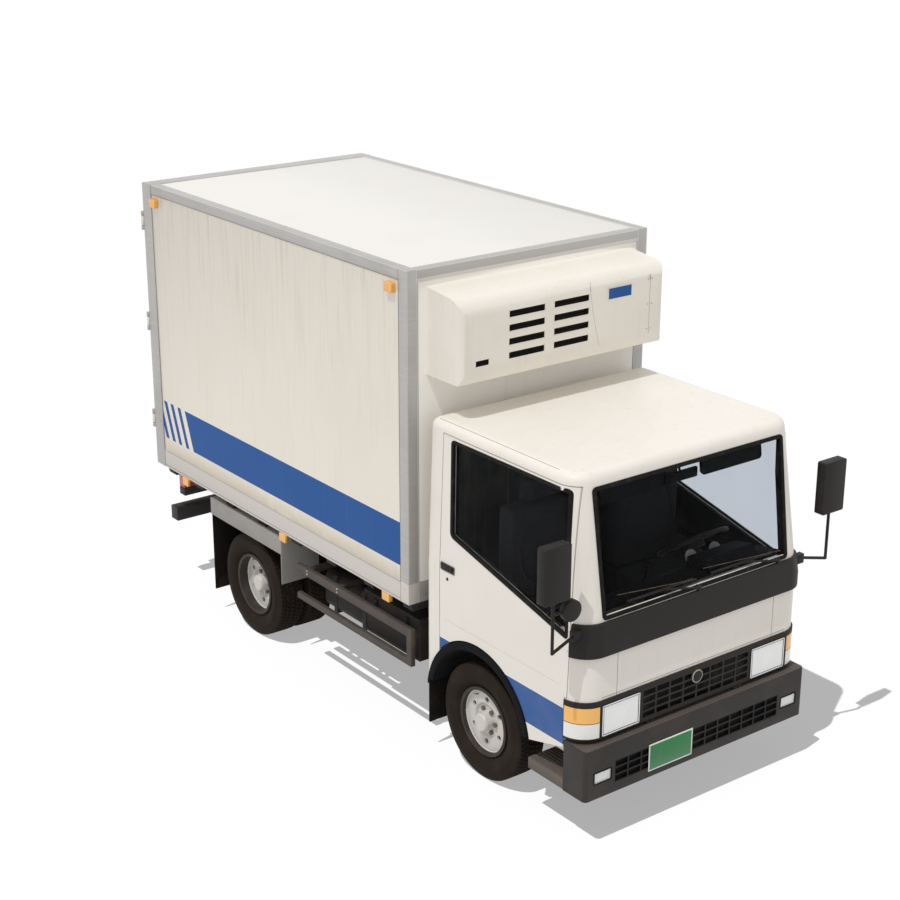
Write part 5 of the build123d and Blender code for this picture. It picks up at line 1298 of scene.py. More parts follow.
@dataclass
class CabDoors:
    """The doors' seals, handles, locks and inner trim."""

    window: tuple[tuple[float, float], ...] = (
        (186.0, 1992.0), (138.0, 1204.0), (1141.0, 1444.0), (1158.0, 1988.0),
    )
    seal_out: float = 16.0
    seal_in: float = 6.0
    seal_proud: float = 3.0
    seal_deep: float = 14.0
    handle_y: tuple[float, float] = (-1149.0, -1017.0)
    handle_z: float = 1233.0
    lock: tuple[float, float] = (-1080.0, 1164.0)
    handle_half: float = 25.0
    inner_x: float = 799.0
    crease: tuple[float, float, float] = (-2080.0, -1060.0, 905.0)
    pads: tuple[tuple[Point, tuple[float, float], float], ...] = (
        ((752.0, -1760.0, 1120.0), (-1290.0, 1158.0), 12.0),
        ((784.0, -1900.0, 760.0), (-1360.0, 905.0), 10.0),
        ((780.0, -1240.0, 1180.0), (-1150.0, 1214.0), 6.0),
    )
    winder: tuple[float, float] = (-1830.0, 1040.0)
    winder_reach: tuple[float, float] = (70.0, 46.0)

    def build(self) -> None:
        """Dresses both doors and adds their fittings."""
        for side, sign in SIDES:
            body = f"cab_door_{side}"
            dress(body, DOOR_ENAMEL, Edge.PRESSED)
            dress(f"door_glass_{side}", SCREEN_GLASS, Edge.PRESSED)
            self.seal_window(side, sign, body)
            self.fit_handle(side, sign, body)
            self.trim_inside(side, sign, body)

    def seal_window(self, side: str, sign: int, body: str) -> None:
        """Adds the black window rubber, bent to the door's skin.

        Args:
            side: Which door.
            sign: Sign of its X.
            body: The door's body.
        """
        flat = [(CAB_FRONT_Y + behind, z) for behind, z in self.window]
        corners = [(0.0, y, z) for y, z in grown(flat, self.seal_out)]
        bm = bmesh.new()
        ring(bm, corners, self.seal_out + self.seal_in, (1.0, 0.0, 0.0), rounding=30.0)
        bmesh.ops.subdivide_edges(
            bm, edges=[e for e in bm.edges if e.calc_length() > 150.0], cuts=14, use_grid_fill=True
        )
        for vert in bm.verts:
            proud = self.seal_proud if vert.co.x > 0.5 else -self.seal_deep
            vert.co.x = sign * (side_x(vert.co.y, vert.co.z) + proud)
        make_piece(bm, f"door_window_seal_{side}", body, BLACK_RUBBER, rounding=1.2)

    def fit_handle(self, side: str, sign: int, body: str) -> None:
        """Adds the handle's cup, its grip and the key lock.

        Args:
            side: Which door.
            sign: Sign of its X.
            body: The door's body.
        """
        near, far = self.handle_y
        low, high = self.handle_z - self.handle_half, self.handle_z + self.handle_half
        skin = CAB_HALF - 1.2
        cup = bmesh.new()
        corners = [(sign * skin, y, z) for y, z in ((near, low), (far, low), (far, high), (near, high))]
        ring(cup, corners, 6.0, (sign * 4.0, 0.0, 0.0), rounding=9.0)
        make_piece(cup, f"door_handle_cup_{side}", body, CUP_GREY, rounding=1.0)
        grip = bmesh.new()
        slab(
            grip,
            [(sign * skin, y, z) for y, z in ((near + 5, low + 5), (far - 5, low + 5), (far - 5, high - 5),
                                              (near + 5, high - 5))],
            (sign * 1.8, 0.0, 0.0),
            rounding=6.0,
        )
        ends = sorted((sign * (skin + 3.0), sign * (skin + 15.0)))
        block(grip, (ends[0], near + 12, self.handle_z - 3), (ends[1], far - 14, high - 7), rounding=3.5)
        rod(grip, (sign * skin, self.lock[0], self.lock[1]), (sign * (skin + 3.5), *self.lock), 11.0, 20, 9.0)
        make_piece(grip, f"door_handle_{side}", body, BLACK_PLASTIC)
        # a thin dark line along the door's crease: painted shade
        crease = bmesh.new()
        start, end, height = self.crease
        rod(crease, (sign * CAB_HALF, start, height), (sign * CAB_HALF, end, height), 0.35, 6)
        make_piece(crease, f"door_crease_{side}", body, SEAM_SHADOW)

    def trim_inside(self, side: str, sign: int, body: str) -> None:
        """Adds the armrest, the pull, the window winder and the pocket.

        Args:
            side: Which door.
            sign: Sign of its X.
            body: The door's body.
        """
        bm = bmesh.new()
        for low, end, rounding in self.pads:
            across = sorted((sign * low[0], sign * self.inner_x))
            block(bm, (across[0], *low[1:]), (across[1], *end), rounding)
        hub = Vector((sign * self.inner_x, *self.winder))
        rod(bm, hub, hub + Vector((-sign * 22.0, 0.0, 0.0)), 20.0, 20, 16.0)
        arm = hub + Vector((-sign * 20.0, 0.0, 0.0))
        rod(bm, arm, arm + Vector((0.0, *self.winder_reach)), 7.0, 10)
        rod(
            bm, arm + Vector((0.0, *self.winder_reach)),
            arm + Vector((-sign * 30.0, *self.winder_reach)), 10.0, 14, 8.0,
        )
        make_piece(bm, f"door_inner_trim_{side}", body, CAB_TRIM)


@dataclass
class CabInterior:
    """The seats, the dashboard's instruments and the controls."""

    seat_x: float = 395.0
    seat_half: float = 250.0
    cushion: tuple[Point, Point] = ((-1873.0, 955.0), (-1393.0, 1085.0))
    back: tuple[Point, Point] = ((-1413.0, 1075.0), (-1273.0, 1645.0))
    rest: tuple[Point, Point] = ((-1393.0, 1645.0), (-1303.0, 1795.0))
    rest_half: float = 130.0
    pod: tuple[float, float, float, float] = (205.0, 585.0, 1290.0, 1360.0)
    pod_rear: float = -1877.7
    dash_top: float = 1290.0

    def build(self) -> None:
        """Dresses the interior's solids and adds what they lack."""
        dress("dashboard", CAB_TRIM, radius=6.0)
        dress("steering_wheel", BLACK_PLASTIC, Edge.PRESSED)
        for side, sign in SIDES:
            self.upholster(side, sign)
        self.fit_instruments()
        self.fit_levers()

    def upholster(self, side: str, sign: int) -> None:
        """Models one seat: a crowned cushion, a crowned back and a head rest, with sewn borders.

        Args:
            side: Which seat.
            sign: Sign of its X.
        """
        middle = sign * self.seat_x
        bm = bmesh.new()
        self.pad(bm, middle, self.seat_half, self.cushion, Vector((0.0, 0.0, 1.0)))
        self.pad(bm, middle, self.seat_half, self.back, Vector((0.0, -1.0, 0.0)))
        self.pad(bm, middle, self.rest_half, self.rest, Vector((0.0, -1.0, 0.0)))
        piece = make_piece(
            bm, f"seat_upholstery_{side}", "cab", SEAT_CLOTH, replaced=("seats",)
        )
        soft = piece.modifiers.new("soft_edges", "SUBSURF")
        soft.levels = soft.render_levels = 2

    def pad(
        self, bm: bmesh.types.BMesh, middle: float, half: float, span: tuple[Point, Point], face_way: Vector
    ) -> None:
        """Adds one stuffed pad with a sewn border and a crowned panel.

        Args:
            bm: The mesh that grows.
            middle: X of its middle.
            half: Half its width.
            span: Its lowest and highest Y and Z.
            face_way: The way that its stuffed face looks.
        """
        (low_y, low_z), (high_y, high_z) = span
        before = set(bm.faces)
        block(bm, (middle - half + 3, low_y + 3, low_z + 1), (middle + half - 3, high_y - 3, high_z - 6))
        made = [face for face in bm.faces if face not in before]
        edges = list({edge for face in made for edge in face.edges})
        bmesh.ops.bevel(bm, geom=edges, offset=26.0, affect="EDGES", segments=2, profile=0.5, material=-1)
        bm.normal_update()
        made = [face for face in bm.faces if face not in before]
        panel = max(
            (face for face in made if face.normal.dot(face_way) > 0.9), key=lambda face: face.calc_area()
        )
        bmesh.ops.inset_region(bm, faces=[panel], thickness=30.0, depth=0.0)
        bmesh.ops.inset_region(bm, faces=[panel], thickness=5.0, depth=-7.0)
        bmesh.ops.inset_region(bm, faces=[panel], thickness=6.0, depth=9.0)
        bmesh.ops.inset_region(bm, faces=[panel], thickness=40.0, depth=3.0)

    def fit_instruments(self) -> None:
        """Adds the dials' rings and needles, the vents and the blank radio panel."""
        left, right, low, high = self.pod
        dials = bmesh.new()
        for x in (left + 95, right - 95):
            for radius, depth in ((46.0, 3.0), (38.0, 5.0)):
                rod(dials, (x, self.pod_rear - 1, low - 10), (x, self.pod_rear + depth, low - 12), radius, 32)
            rod(dials, (x, self.pod_rear + 5, low - 12), (x + 22, self.pod_rear + 6, low + 12), 2.0, 6)
        make_piece(dials, "dial_rings", "cab", BRIGHT_STEEL, rounding=0.5)
        trim = bmesh.new()
        for x in (-560.0, -470.0, 20.0, 110.0):
            for row in range(5):
                z = self.dash_top - 60 - 14 * row
                block(trim, (x, self.pod_rear - 2, z), (x + 76, self.pod_rear + 4, z + 6), 1.5)
        block(trim, (-30.0, self.pod_rear - 2, 1110.0), (160.0, self.pod_rear + 6, 1165.0), 3.0)
        for x in (-12.0, 142.0):
            rod(trim, (x, self.pod_rear, 1137.0), (x, self.pod_rear + 16, 1137.0), 10.0, 18, 9.0)
        make_piece(trim, "dash_vents_and_radio", "cab", BLACK_PLASTIC)

    def fit_levers(self) -> None:
        """Adds the gear lever in its gaiter, the hand brake and the two sun visors."""
        bm = bmesh.new()
        rod(bm, (60.0, -1700.0, 955.0), (60.0, -1706.0, 1030.0), 52.0, 24, 16.0)
        rod(bm, (60.0, -1705.0, 1020.0), (70.0, -1760.0, 1235.0), 8.0, 12, 7.0)
        bmesh.ops.create_uvsphere(
            bm, u_segments=20, v_segments=12, radius=24.0, matrix=Matrix.Translation((71.0, -1765.0, 1250.0))
        )
        rod(bm, (-60.0, -1560.0, 965.0), (-60.0, -1760.0, 1085.0), 11.0, 12, 13.0)
        for sign in (-1, 1):
            corners = [
                (sign * x, front_y(z) + 62.0, z)
                for x, z in ((130.0, 2010.0), (600.0, 2010.0), (600.0, 1880.0), (130.0, 1880.0))
            ]
            slab(bm, corners, (0.0, 14.0, 2.0), rounding=24.0)
        make_piece(bm, "levers_and_visors", "cab", CAB_TRIM)


@dataclass
class Mirrors:
    """The silvered faces of the outside mirrors."""

    across: tuple[float, float] = (947.0, 1124.0)
    height: tuple[float, float] = (1498.0, 1813.0)
    rear_y: float = -2201.0
    rim: float = 9.0
    round_centre: Point = (-925.0, -2222.0, 1424.0)
    round_radius: float = 53.0

    def build(self) -> None:
        """Dresses the mirrors and adds their glass."""
        dress("mirrors", BLACK_PLASTIC, radius=3.0)
        bm = bmesh.new()
        for sign in (-1, 1):
            low_x, high_x = self.across[0] + self.rim, self.across[1] - self.rim
            low_z, high_z = self.height[0] + self.rim, self.height[1] - self.rim
            corners = [
                (sign * x, self.rear_y - 0.5, z)
                for x, z in ((low_x, low_z), (high_x, low_z), (high_x, high_z), (low_x, high_z))
            ]
            slab(bm, corners, (0.0, 1.5, 0.0), rounding=12.0)
        centre = Vector(self.round_centre)
        rod(bm, centre, centre + Vector((0.0, 1.6, 0.0)), self.round_radius, 40)
        make_piece(bm, "mirror_glasses", "cab", MIRROR_GLASS, rounding=0.4)


# ------------------------------------------------------------------ insulated box
@dataclass
class BoxBody:
    """The box's walls, floor and roof, with the painted stripes on both sides."""

    stripe_z: tuple[float, float] = (1128.0, 1398.0)
    stripe_front: float = -697.0
    stripe_end: tuple[float, float] = (1744.0, 1845.0)
    bar_starts: tuple[float, ...] = (1906.0, 2004.0, 2095.0)
    bar_width: float = 41.0
    panel_end: float = 2158.0
    film: float = 0.6
    rail_low: float = 900.0
    rail_high: float = 1031.0
    rivet_pitch: float = 148.0
    floor_z: float = 1031.0
    floor_half: float = 815.0
    rib_pitch: float = 50.0
    rib_height: float = 8.0

    def build(self) -> None:
        """Dresses the box and adds its stripes, lips, rivets and floor ribs."""
        dress("box_floor", ALUMINIUM_SECTION, radius=3.0)
        dress("box_sides", BOX_WALL, radius=3.0)
        dress("box_front_wall", BOX_FRONT, radius=3.0)
        dress("box_roof", BOX_ROOF, radius=3.0)
        dress("box_rear_frame", ALUMINIUM_SECTION, radius=3.0)
        dress("marker_lamps", AMBER_LENS, radius=3.0)
        self.paint_stripes()
        self.add_rail_lines()
        self.add_rivets()
        self.add_floor_ribs()

    def paint_stripes(self) -> None:
        """Adds the long blue stripe and the slanted bars that follow it."""
        low, high = self.stripe_z
        slant = self.stripe_end[1] - self.stripe_end[0]
        shapes = [
            [(self.stripe_front, low), (self.stripe_end[0], low), (self.stripe_end[1], high),
             (self.stripe_front, high)]
        ]
        for start in self.bar_starts:
            shapes.append(
                [(start - slant, low), (start - slant + self.bar_width, low), (start + self.bar_width, high),
                 (start, high)]
            )
        cut_start = self.bar_starts[-1] + self.bar_starts[-1] - self.bar_starts[-2]
        left, right = cut_start - slant, cut_start - slant + self.bar_width
        rise = (high - low) / slant
        shapes.append(
            [(left, low), (right, low), (self.panel_end, low + (self.panel_end - right) * rise),
             (self.panel_end, low + (self.panel_end - left) * rise)]
        )
        bm = bmesh.new()
        for shape in shapes:
            slab(bm, [(PANEL_HALF - 0.2, y, z) for y, z in shape], (self.film + 0.2, 0.0, 0.0))
        mirrored_copy(bm)
        make_piece(bm, "box_side_stripes", "chassis", PAINTED_BLUE)

    def add_rail_lines(self) -> None:
        """Adds the bright lip over the bottom rail and the joint line near its foot."""
        lip, line = bmesh.new(), bmesh.new()
        near, far = BOX_HALF - LINE_SINK, BOX_HALF + LINE_PROUD
        front = BOX_FRONT_Y + POST_WIDTH
        block(
            lip, (PANEL_HALF, self.stripe_front, self.rail_high - 6),
            (BOX_HALF + 3.0, self.panel_end, self.rail_high), 1.5,
        )
        block(line, (near, front + 2, self.rail_low + 17), (far, self.panel_end, self.rail_low + 19.5))
        for y in (front, self.panel_end):
            block(line, (near, y - 1.0, self.rail_low + 2), (far, y + 1.0, BOX_TOP_Z - 4))
        block(line, (near, front, BOX_TOP_Z - 63), (far, self.panel_end, BOX_TOP_Z - 61))
        for bm in (lip, line):
            mirrored_copy(bm)
        make_piece(lip, "bottom_rail_lips", "chassis", ALUMINIUM_SECTION)
        make_piece(line, "frame_joint_lines", "chassis", SEAM_SHADOW)

    def add_rivets(self) -> None:
        """Adds the rivets along the front and rear posts of both sides."""
        bm = bmesh.new()
        places = []
        count = int((BOX_TOP_Z - self.rail_low - 100) // self.rivet_pitch)
        for i in range(count):
            z = self.rail_low + 90 + i * self.rivet_pitch
            places += [(BOX_HALF, BOX_FRONT_Y + 40, z), (BOX_HALF, BOX_REAR_Y - 60, z)]
        heads(bm, places, (1.0, 0.0, 0.0), 6.0, 2.2)
        mirrored_copy(bm)
        make_piece(bm, "post_rivets", "chassis", ALUMINIUM_SECTION)

    def add_floor_ribs(self) -> None:
        """Adds the lengthwise ribs that carry the load and let the air through."""
        bm = bmesh.new()
        count = int(2 * self.floor_half // self.rib_pitch)
        for i in range(count + 1):
            x = (i - count / 2) * self.rib_pitch
            block(
                bm, (x - 9, BOX_FRONT_Y + 90, self.floor_z - 0.5),
                (x + 9, BOX_REAR_Y - 130, self.floor_z + self.rib_height), 2.0,
            )
        make_piece(bm, "load_floor_ribs", "chassis", LINING_FLOOR)


@dataclass
class RearDoors:
    """The box's rear doors: skins, gaskets, rivets and lock fittings."""

    near: float = 7.0
    far: float = 834.0
    low: float = 1037.0
    high: float = 2812.0
    face_y: float = 2276.0
    front_y: float = 2201.0
    rods: tuple[float, float] = (115.0, 560.0)
    handle_z: tuple[float, float] = (1490.0, 1516.0)
    straps: tuple[float, ...] = (1230.0, 1940.0, 2650.0)
    strap_bolts: tuple[float, ...] = (540.0, 640.0, 740.0)
    keepers: tuple[float, ...] = (1260.0, 1760.0, 2240.0)
    grip: tuple[float, float] = (250.0, 376.0)

    def build(self) -> None:
        """Dresses both doors and adds their fittings."""
        for side, sign in SIDES:
            body = f"box_door_{side}"
            dress(body, BOX_DOOR_SKIN, radius=2.0)
            self.add_gasket(side, sign, body)
            self.add_fittings(side, sign, body)

    def outline(self, sign: int, y: float, inset: float = 0.0) -> list[Point]:
        """Works out the door's edge.

        Args:
            sign: Sign of its X.
            y: Where the face lies.
            inset: How far inside the door's edge.

        Returns:
            The four corners.
        """
        left, right = self.near + inset, self.far - inset
        low, high = self.low + inset, self.high - inset
        return [(sign * x, y, z) for x, z in ((left, low), (right, low), (right, high), (left, high))]

    def add_gasket(self, side: str, sign: int, body: str) -> None:
        """Adds the black gasket on the door's outer edge and the one that seals inside."""
        bm = bmesh.new()
        ring(bm, self.outline(sign, self.face_y - 0.5), 12.0, (0.0, 2.5, 0.0), rounding=10.0)
        ring(bm, self.outline(sign, self.front_y + 0.5, 26.0), 18.0, (0.0, -5.0, 0.0), rounding=16.0)
        make_piece(bm, f"box_door_gasket_{side}", body, BLACK_RUBBER, rounding=0.8)

    def add_fittings(self, side: str, sign: int, body: str) -> None:
        """Adds the cams, the handle's grip, the keepers' rivets and the strap bolts."""
        bm = bmesh.new()
        for x in self.rods:
            for z in (self.low + 24, self.high - 24):
                rod(bm, (sign * x, self.face_y + 14, z - 9), (sign * x, self.face_y + 14, z + 9), 13.0, 16)
            heads(
                bm,
                [(sign * (x + dx), self.face_y, z + 32) for dx in (-20, 20) for z in self.keepers],
                (0.0, 1.0, 0.0), 6.5, 3.0,
            )
        places = [
            (sign * x, self.face_y + 1.0, z + dz)
            for z in self.straps for x in self.strap_bolts for dz in (-16, 16)
        ]
        heads(bm, places, (0.0, 1.0, 0.0), 7.0, 12.0)
        make_piece(bm, f"box_door_fittings_{side}", body, BRIGHT_STEEL, rounding=0.5)
        grip = bmesh.new()
        low, high = self.handle_z
        across = sorted(sign * x for x in self.grip)
        block(grip, (across[0], self.face_y + 9, low - 3), (across[1], self.face_y + 28.5, high + 3), 6.0)
        make_piece(grip, f"box_door_grip_{side}", body, BLACK_RUBBER)


@dataclass
class CoolingUnit:
    """The refrigerating unit's cover: louvres, joints, screws and its blank label."""

    face_y: float = -1090.0
    slots: tuple[tuple[float, float, float, float, int], ...] = (
        (-424.0, 264.0, 2682.0, 44.0, 4), (-96.0, 266.0, 2684.0, 44.0, 4), (-660.0, 99.0, 2431.0, 40.0, 1),
    )
    pitch: float = 80.0
    label: tuple[float, float, float, float] = (312.0, 499.0, 2620.0, 2694.0)
    end_seam: tuple[float, float, float] = (643.0, 2366.0, 2728.0)
    curve: tuple[tuple[float, float], ...] = (
        (170.0, 2752.0), (180.0, 2670.0), (197.0, 2580.0), (217.0, 2490.0), (236.0, 2420.0), (252.0, 2360.0),
    )

    def build(self) -> None:
        """Dresses the cover and adds its details."""
        dress("cooling_unit", UNIT_COVER, Edge.PRESSED)
        self.add_louvres()
        self.add_seams()
        self.add_label()

    def add_louvres(self) -> None:
        """Adds the rounded rims of the slots and two tilted blades inside each."""
        rims, blades = bmesh.new(), bmesh.new()
        for left, width, top, height, rows in self.slots:
            for row in range(rows):
                high = top - row * self.pitch
                low = high - height
                corners = [
                    (x, self.face_y + 6.0, z)
                    for x, z in ((left, low), (left + width, low), (left + width, high), (left, high))
                ]
                ring(rims, corners, 3.0, (0.0, -6.6, 0.0), rounding=9.0)
                for share in (0.33, 0.68):
                    z = low + height * share
                    corners = [
                        (x, self.face_y + y, z + dz)
                        for x, y, dz in (
                            (left, 12.0, -4.0), (left + width, 12.0, -4.0),
                            (left + width, 34.0, 6.0), (left, 34.0, 6.0),
                        )
                    ]
                    slab(blades, corners, (0.0, 0.0, 1.6))
        make_piece(rims, "unit_slot_rims", "chassis", UNIT_COVER)
        make_piece(blades, "unit_louvre_blades", "chassis", BLACK_PLASTIC)

    def add_seams(self) -> None:
        """Adds the joint of the end cover, the curved joint and the screws that hold them."""
        bm = bmesh.new()
        x, low, high = self.end_seam
        block(bm, (x - 0.9, self.face_y - 0.3, low), (x + 0.9, self.face_y + 2, high))
        for (x0, z0), (x1, z1) in zip(self.curve, self.curve[1:]):
            rod(bm, (x0, self.face_y + 0.4, z0), (x1, self.face_y + 0.4, z1), 0.9, 6)
        make_piece(bm, "unit_cover_joints", "chassis", SEAM_SHADOW)
        screws = bmesh.new()
        heights = (low + 30, (low + high) / 2, high - 30)
        places = [(x + dx, self.face_y, z) for dx in (-16, 16) for z in heights]
        heads(screws, places, (0.0, -1.0, 0.0), 4.5, 1.8)
        make_piece(screws, "unit_cover_screws", "chassis", BRIGHT_STEEL)

    def add_label(self) -> None:
        """Adds the blank blue label with its pale rim."""
        left, right, low, high = self.label
        corners = [
            (x, self.face_y + 0.3, z) for x, z in ((left, low), (right, low), (right, high), (left, high))
        ]
        rim, plate = bmesh.new(), bmesh.new()
        ring(rim, corners, 5.0, (0.0, -1.6, 0.0), rounding=3.0)
        slab(plate, corners, (0.0, -1.2, 0.0), rounding=3.0)
        make_piece(rim, "unit_label_rim", "chassis", UNIT_COVER)
        make_piece(plate, "unit_label_blank", "chassis", PAINTED_BLUE)


# ------------------------------------------------------------------ chassis and running gear
@dataclass
class Chassis:
    """The ladder frame and everything that hangs on it, with bolts, straps and lamp rims."""

    rail_x: float = 350.0
    rail_z: float = 580.0
    rail_y: tuple[float, float] = (-1250.0, 2080.0)
    bolt_pitch: float = 190.0
    step: tuple[float, float, float, float, float] = (650.0, 832.0, -2110.0, -1830.0, 350.0)
    tank: tuple[Point, Point] = ((-700.0, -137.0, 400.0), (-380.0, 423.0, 660.0))
    tool_box: tuple[float, float, float, float, float] = (-806.0, -757.0, -177.0, 498.0, 772.0)
    guard: tuple[float, float] = (871.0, 696.0)
    guard_arms: tuple[float, ...] = (31.0, 375.0)
    mudguard_bolts: tuple[float, ...] = (720.0, 920.0, 1120.0, 1320.0, 1500.0)
    mudguard: tuple[float, float] = (888.0, 828.0)
    tail_lamp: tuple[float, float, float, float, float] = (455.0, 745.0, 689.0, 789.0, 2254.0)
    lens_joints: tuple[float, float] = (539.0, 661.0)

    def build(self) -> None:
        """Dresses the chassis and adds its fittings."""
        self.dress_solids()
        self.add_bolts()
        self.ridge_steps()
        self.strap_tank()
        self.fit_tool_box()
        self.frame_tail_lamps()

    def dress_solids(self) -> None:
        """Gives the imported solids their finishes."""
        for node in ("ladder_frame", "box_crossmembers", "cab_mounts", "tool_box", "fuel_tank"):
            dress(node, CHASSIS_BLACK)
        dress("rear_bumper", BUMPER_GREY, radius=3.0)
        dress("cab_steps", GUARD_PAINT, radius=3.0)
        dress("engine", CAST_IRON, radius=12.0)
        for node in ("front_axle", "rear_axle", "knuckle_right", "knuckle_left", "tie_rod"):
            dress(node, AXLE_STEEL, Edge.PRESSED)
        dress("leaf_springs", AXLE_STEEL, Edge.PRESSED)
        dress("side_guards", GUARD_PAINT, radius=3.0)
        dress("rear_mudguards", MUDGUARD_SHEET, radius=1.5)
        dress("mudflaps", FLAP_RUBBER, radius=1.5)
        dress("tail_lamps", RED_LENS, radius=3.0)
        dress("number_plates", PLATE_BLANK, radius=0.8)

    def add_bolts(self) -> None:
        """Adds the bolt heads along the rails, the guards and the mudguards."""
        bm = bmesh.new()
        start, end = self.rail_y
        places = []
        for i in range(int((end - start) // self.bolt_pitch)):
            y = start + i * self.bolt_pitch
            places += [(self.rail_x, y, self.rail_z + 42), (self.rail_x, y, self.rail_z - 42)]
        heads(bm, places, (1.0, 0.0, 0.0), 9.0, 6.0)
        x, z = self.guard
        guard_bolts = [(x - 1.0, y, z + dz) for y in self.guard_arms for dz in (-10, 12)]
        heads(bm, guard_bolts, (1.0, 0.0, 0.0), 7.0, 5.0)
        x, z = self.mudguard
        heads(bm, [(x, y, z) for y in self.mudguard_bolts], (1.0, 0.0, 0.0), 6.0, 4.0)
        mirrored_copy(bm)
        make_piece(bm, "chassis_bolts", "chassis", BRIGHT_STEEL)

    def ridge_steps(self) -> None:
        """Adds the raised ribs that give a foot its grip."""
        left, right, front, rear, top = self.step
        bm = bmesh.new()
        for i in range(9):
            x = left + (right - left) * i / 8
            block(bm, (x - 4, front, top - 1), (x + 4, rear, top + 4), 1.5)
        mirrored_copy(bm)
        make_piece(bm, "step_ribs", "chassis", GUARD_PAINT)

    def strap_tank(self) -> None:
        """Adds the two straps round the fuel tank and its filler cap."""
        low, high = (Vector(corner) for corner in self.tank)
        bm = bmesh.new()
        for y in (low.y + 120, high.y - 120):
            block(bm, (low.x - 3, y - 20, low.z - 3), (high.x + 3, y + 20, high.z + 3), 5.0)
        make_piece(bm, "tank_straps", "chassis", CHASSIS_BLACK)
        cap = bmesh.new()
        centre = Vector((low.x + 90, low.y + 60, high.z))
        rod(cap, centre, centre + Vector((0.0, 0.0, 26.0)), 40.0, 28, 36.0)
        rod(cap, centre + Vector((0.0, 0.0, 24.0)), centre + Vector((0.0, 0.0, 40.0)), 30.0, 28, 28.0)
        make_piece(cap, "tank_cap", "chassis", BLACK_PLASTIC, rounding=2.5)

    def fit_tool_box(self) -> None:
        """Adds the lid's edge and two catches of the tool box."""
        face, front, rear, low, high = self.tool_box
        bm = bmesh.new()
        corners = [
            (face + 0.5, y, z)
            for y, z in (
                (front + 14, low + 14), (rear - 14, low + 14), (rear - 14, high - 14), (front + 14, high - 14)
            )
        ]
        ring(bm, corners, 9.0, (-3.0, 0.0, 0.0), rounding=12.0)
        for y in (front + 130, rear - 130):
            block(bm, (face - 11, y - 16, high - 74), (face + 1, y + 16, high - 26), 3.0)
            block(bm, (face - 14, y - 9, high - 62), (face - 9, y + 9, high - 44), 2.0)
        make_piece(bm, "tool_box_lid", "chassis", CHASSIS_BLACK, rounding=0.8)

    def frame_tail_lamps(self) -> None:
        """Adds the black frames and the dividers between the lenses of the tail lamps."""
        left, right, low, high, face = self.tail_lamp
        bm = bmesh.new()
        corners = [(x, face - 1.0, z) for x, z in ((left, low), (right, low), (right, high), (left, high))]
        ring(bm, corners, 7.0, (0.0, 4.0, 0.0), rounding=8.0)
        for x in self.lens_joints:
            block(bm, (x - 2.5, face - 1.0, low + 4), (x + 2.5, face + 2.4, high - 4), 0.8)
        mirrored_copy(bm)
        make_piece(bm, "tail_lamp_frames", "chassis", BLACK_PLASTIC, rounding=0.8)


@dataclass
class Bumper:
    """The front bumper with its fog lamps' surrounds and its fixings."""

    face_y: float = -2302.0
    fog: tuple[float, float, float, float] = (660.0, 780.0, 375.0, 440.0)
    top_z: float = 590.0
    bolts_x: tuple[float, ...] = (250.0, 520.0, 760.0)
    bolts_y: tuple[float, ...] = (-2270.0, -2150.0)

    def build(self) -> None:
        """Dresses the bumper and frames its lamps."""
        dress("bumper", BUMPER_GREY, radius=3.0)
        dress("fog_lamps", CLEAR_LENS, radius=2.0)
        left, right, low, high = self.fog
        bm = bmesh.new()
        corners = [
            (x, self.face_y + 1.0, z)
            for x, z in (
                (left - 5, low - 5), (right + 5, low - 5), (right + 5, high + 5), (left - 5, high + 5)
            )
        ]
        ring(bm, corners, 6.0, (0.0, -3.6, 0.0), rounding=6.0)
        mirrored_copy(bm)
        make_piece(bm, "fog_lamp_frames", "chassis", BLACK_RUBBER, rounding=0.6)
        bolts = bmesh.new()
        heads(
            bolts,
            [(x, y, self.top_z) for x in self.bolts_x for y in self.bolts_y],
            (0.0, 0.0, 1.0), 8.0, 4.0,
        )
        mirrored_copy(bolts)
        make_piece(bolts, "bumper_bolts", "chassis", BUMPER_GREY)


@dataclass
class Wheels:
    """The painted wheels with their tyre valves."""

    valve_radius: float = 160.0
    disc_face: tuple[float, float] = (770.5, 772.5)

    def build(self) -> None:
        """Dresses each wheel and adds its small fittings."""
        for side, sign in SIDES:
            for kind, y, disc in (
                ("front_wheel", FRONT_AXLE_Y, self.disc_face[0]),
                ("rear_wheels", REAR_AXLE_Y, self.disc_face[1]),
            ):
                body = f"{kind}_{side}"
                dress(body, WHEEL_ENAMEL, Edge.PRESSED)
                self.add_valve(f"{kind}_valve_{side}", body, sign, y, disc)

    def add_valve(self, name: str, body: str, sign: int, y: float, disc: float) -> None:
        """Adds the tyre valve's stem.

        Args:
            name: The piece's name.
            body: The wheel's body.
            sign: Sign of its X.
            y: The axle's place.
            disc: Half track to the disc's face.
        """
        bm = bmesh.new()
        foot = Vector((sign * disc, y + self.valve_radius * 0.5, TYRE_RADIUS + self.valve_radius * 0.866))
        rod(bm, foot, foot + Vector((sign * 26.0, 4.0, 6.0)), 4.0, 10, 3.2)
        make_piece(bm, name, body, WHEEL_NUT)


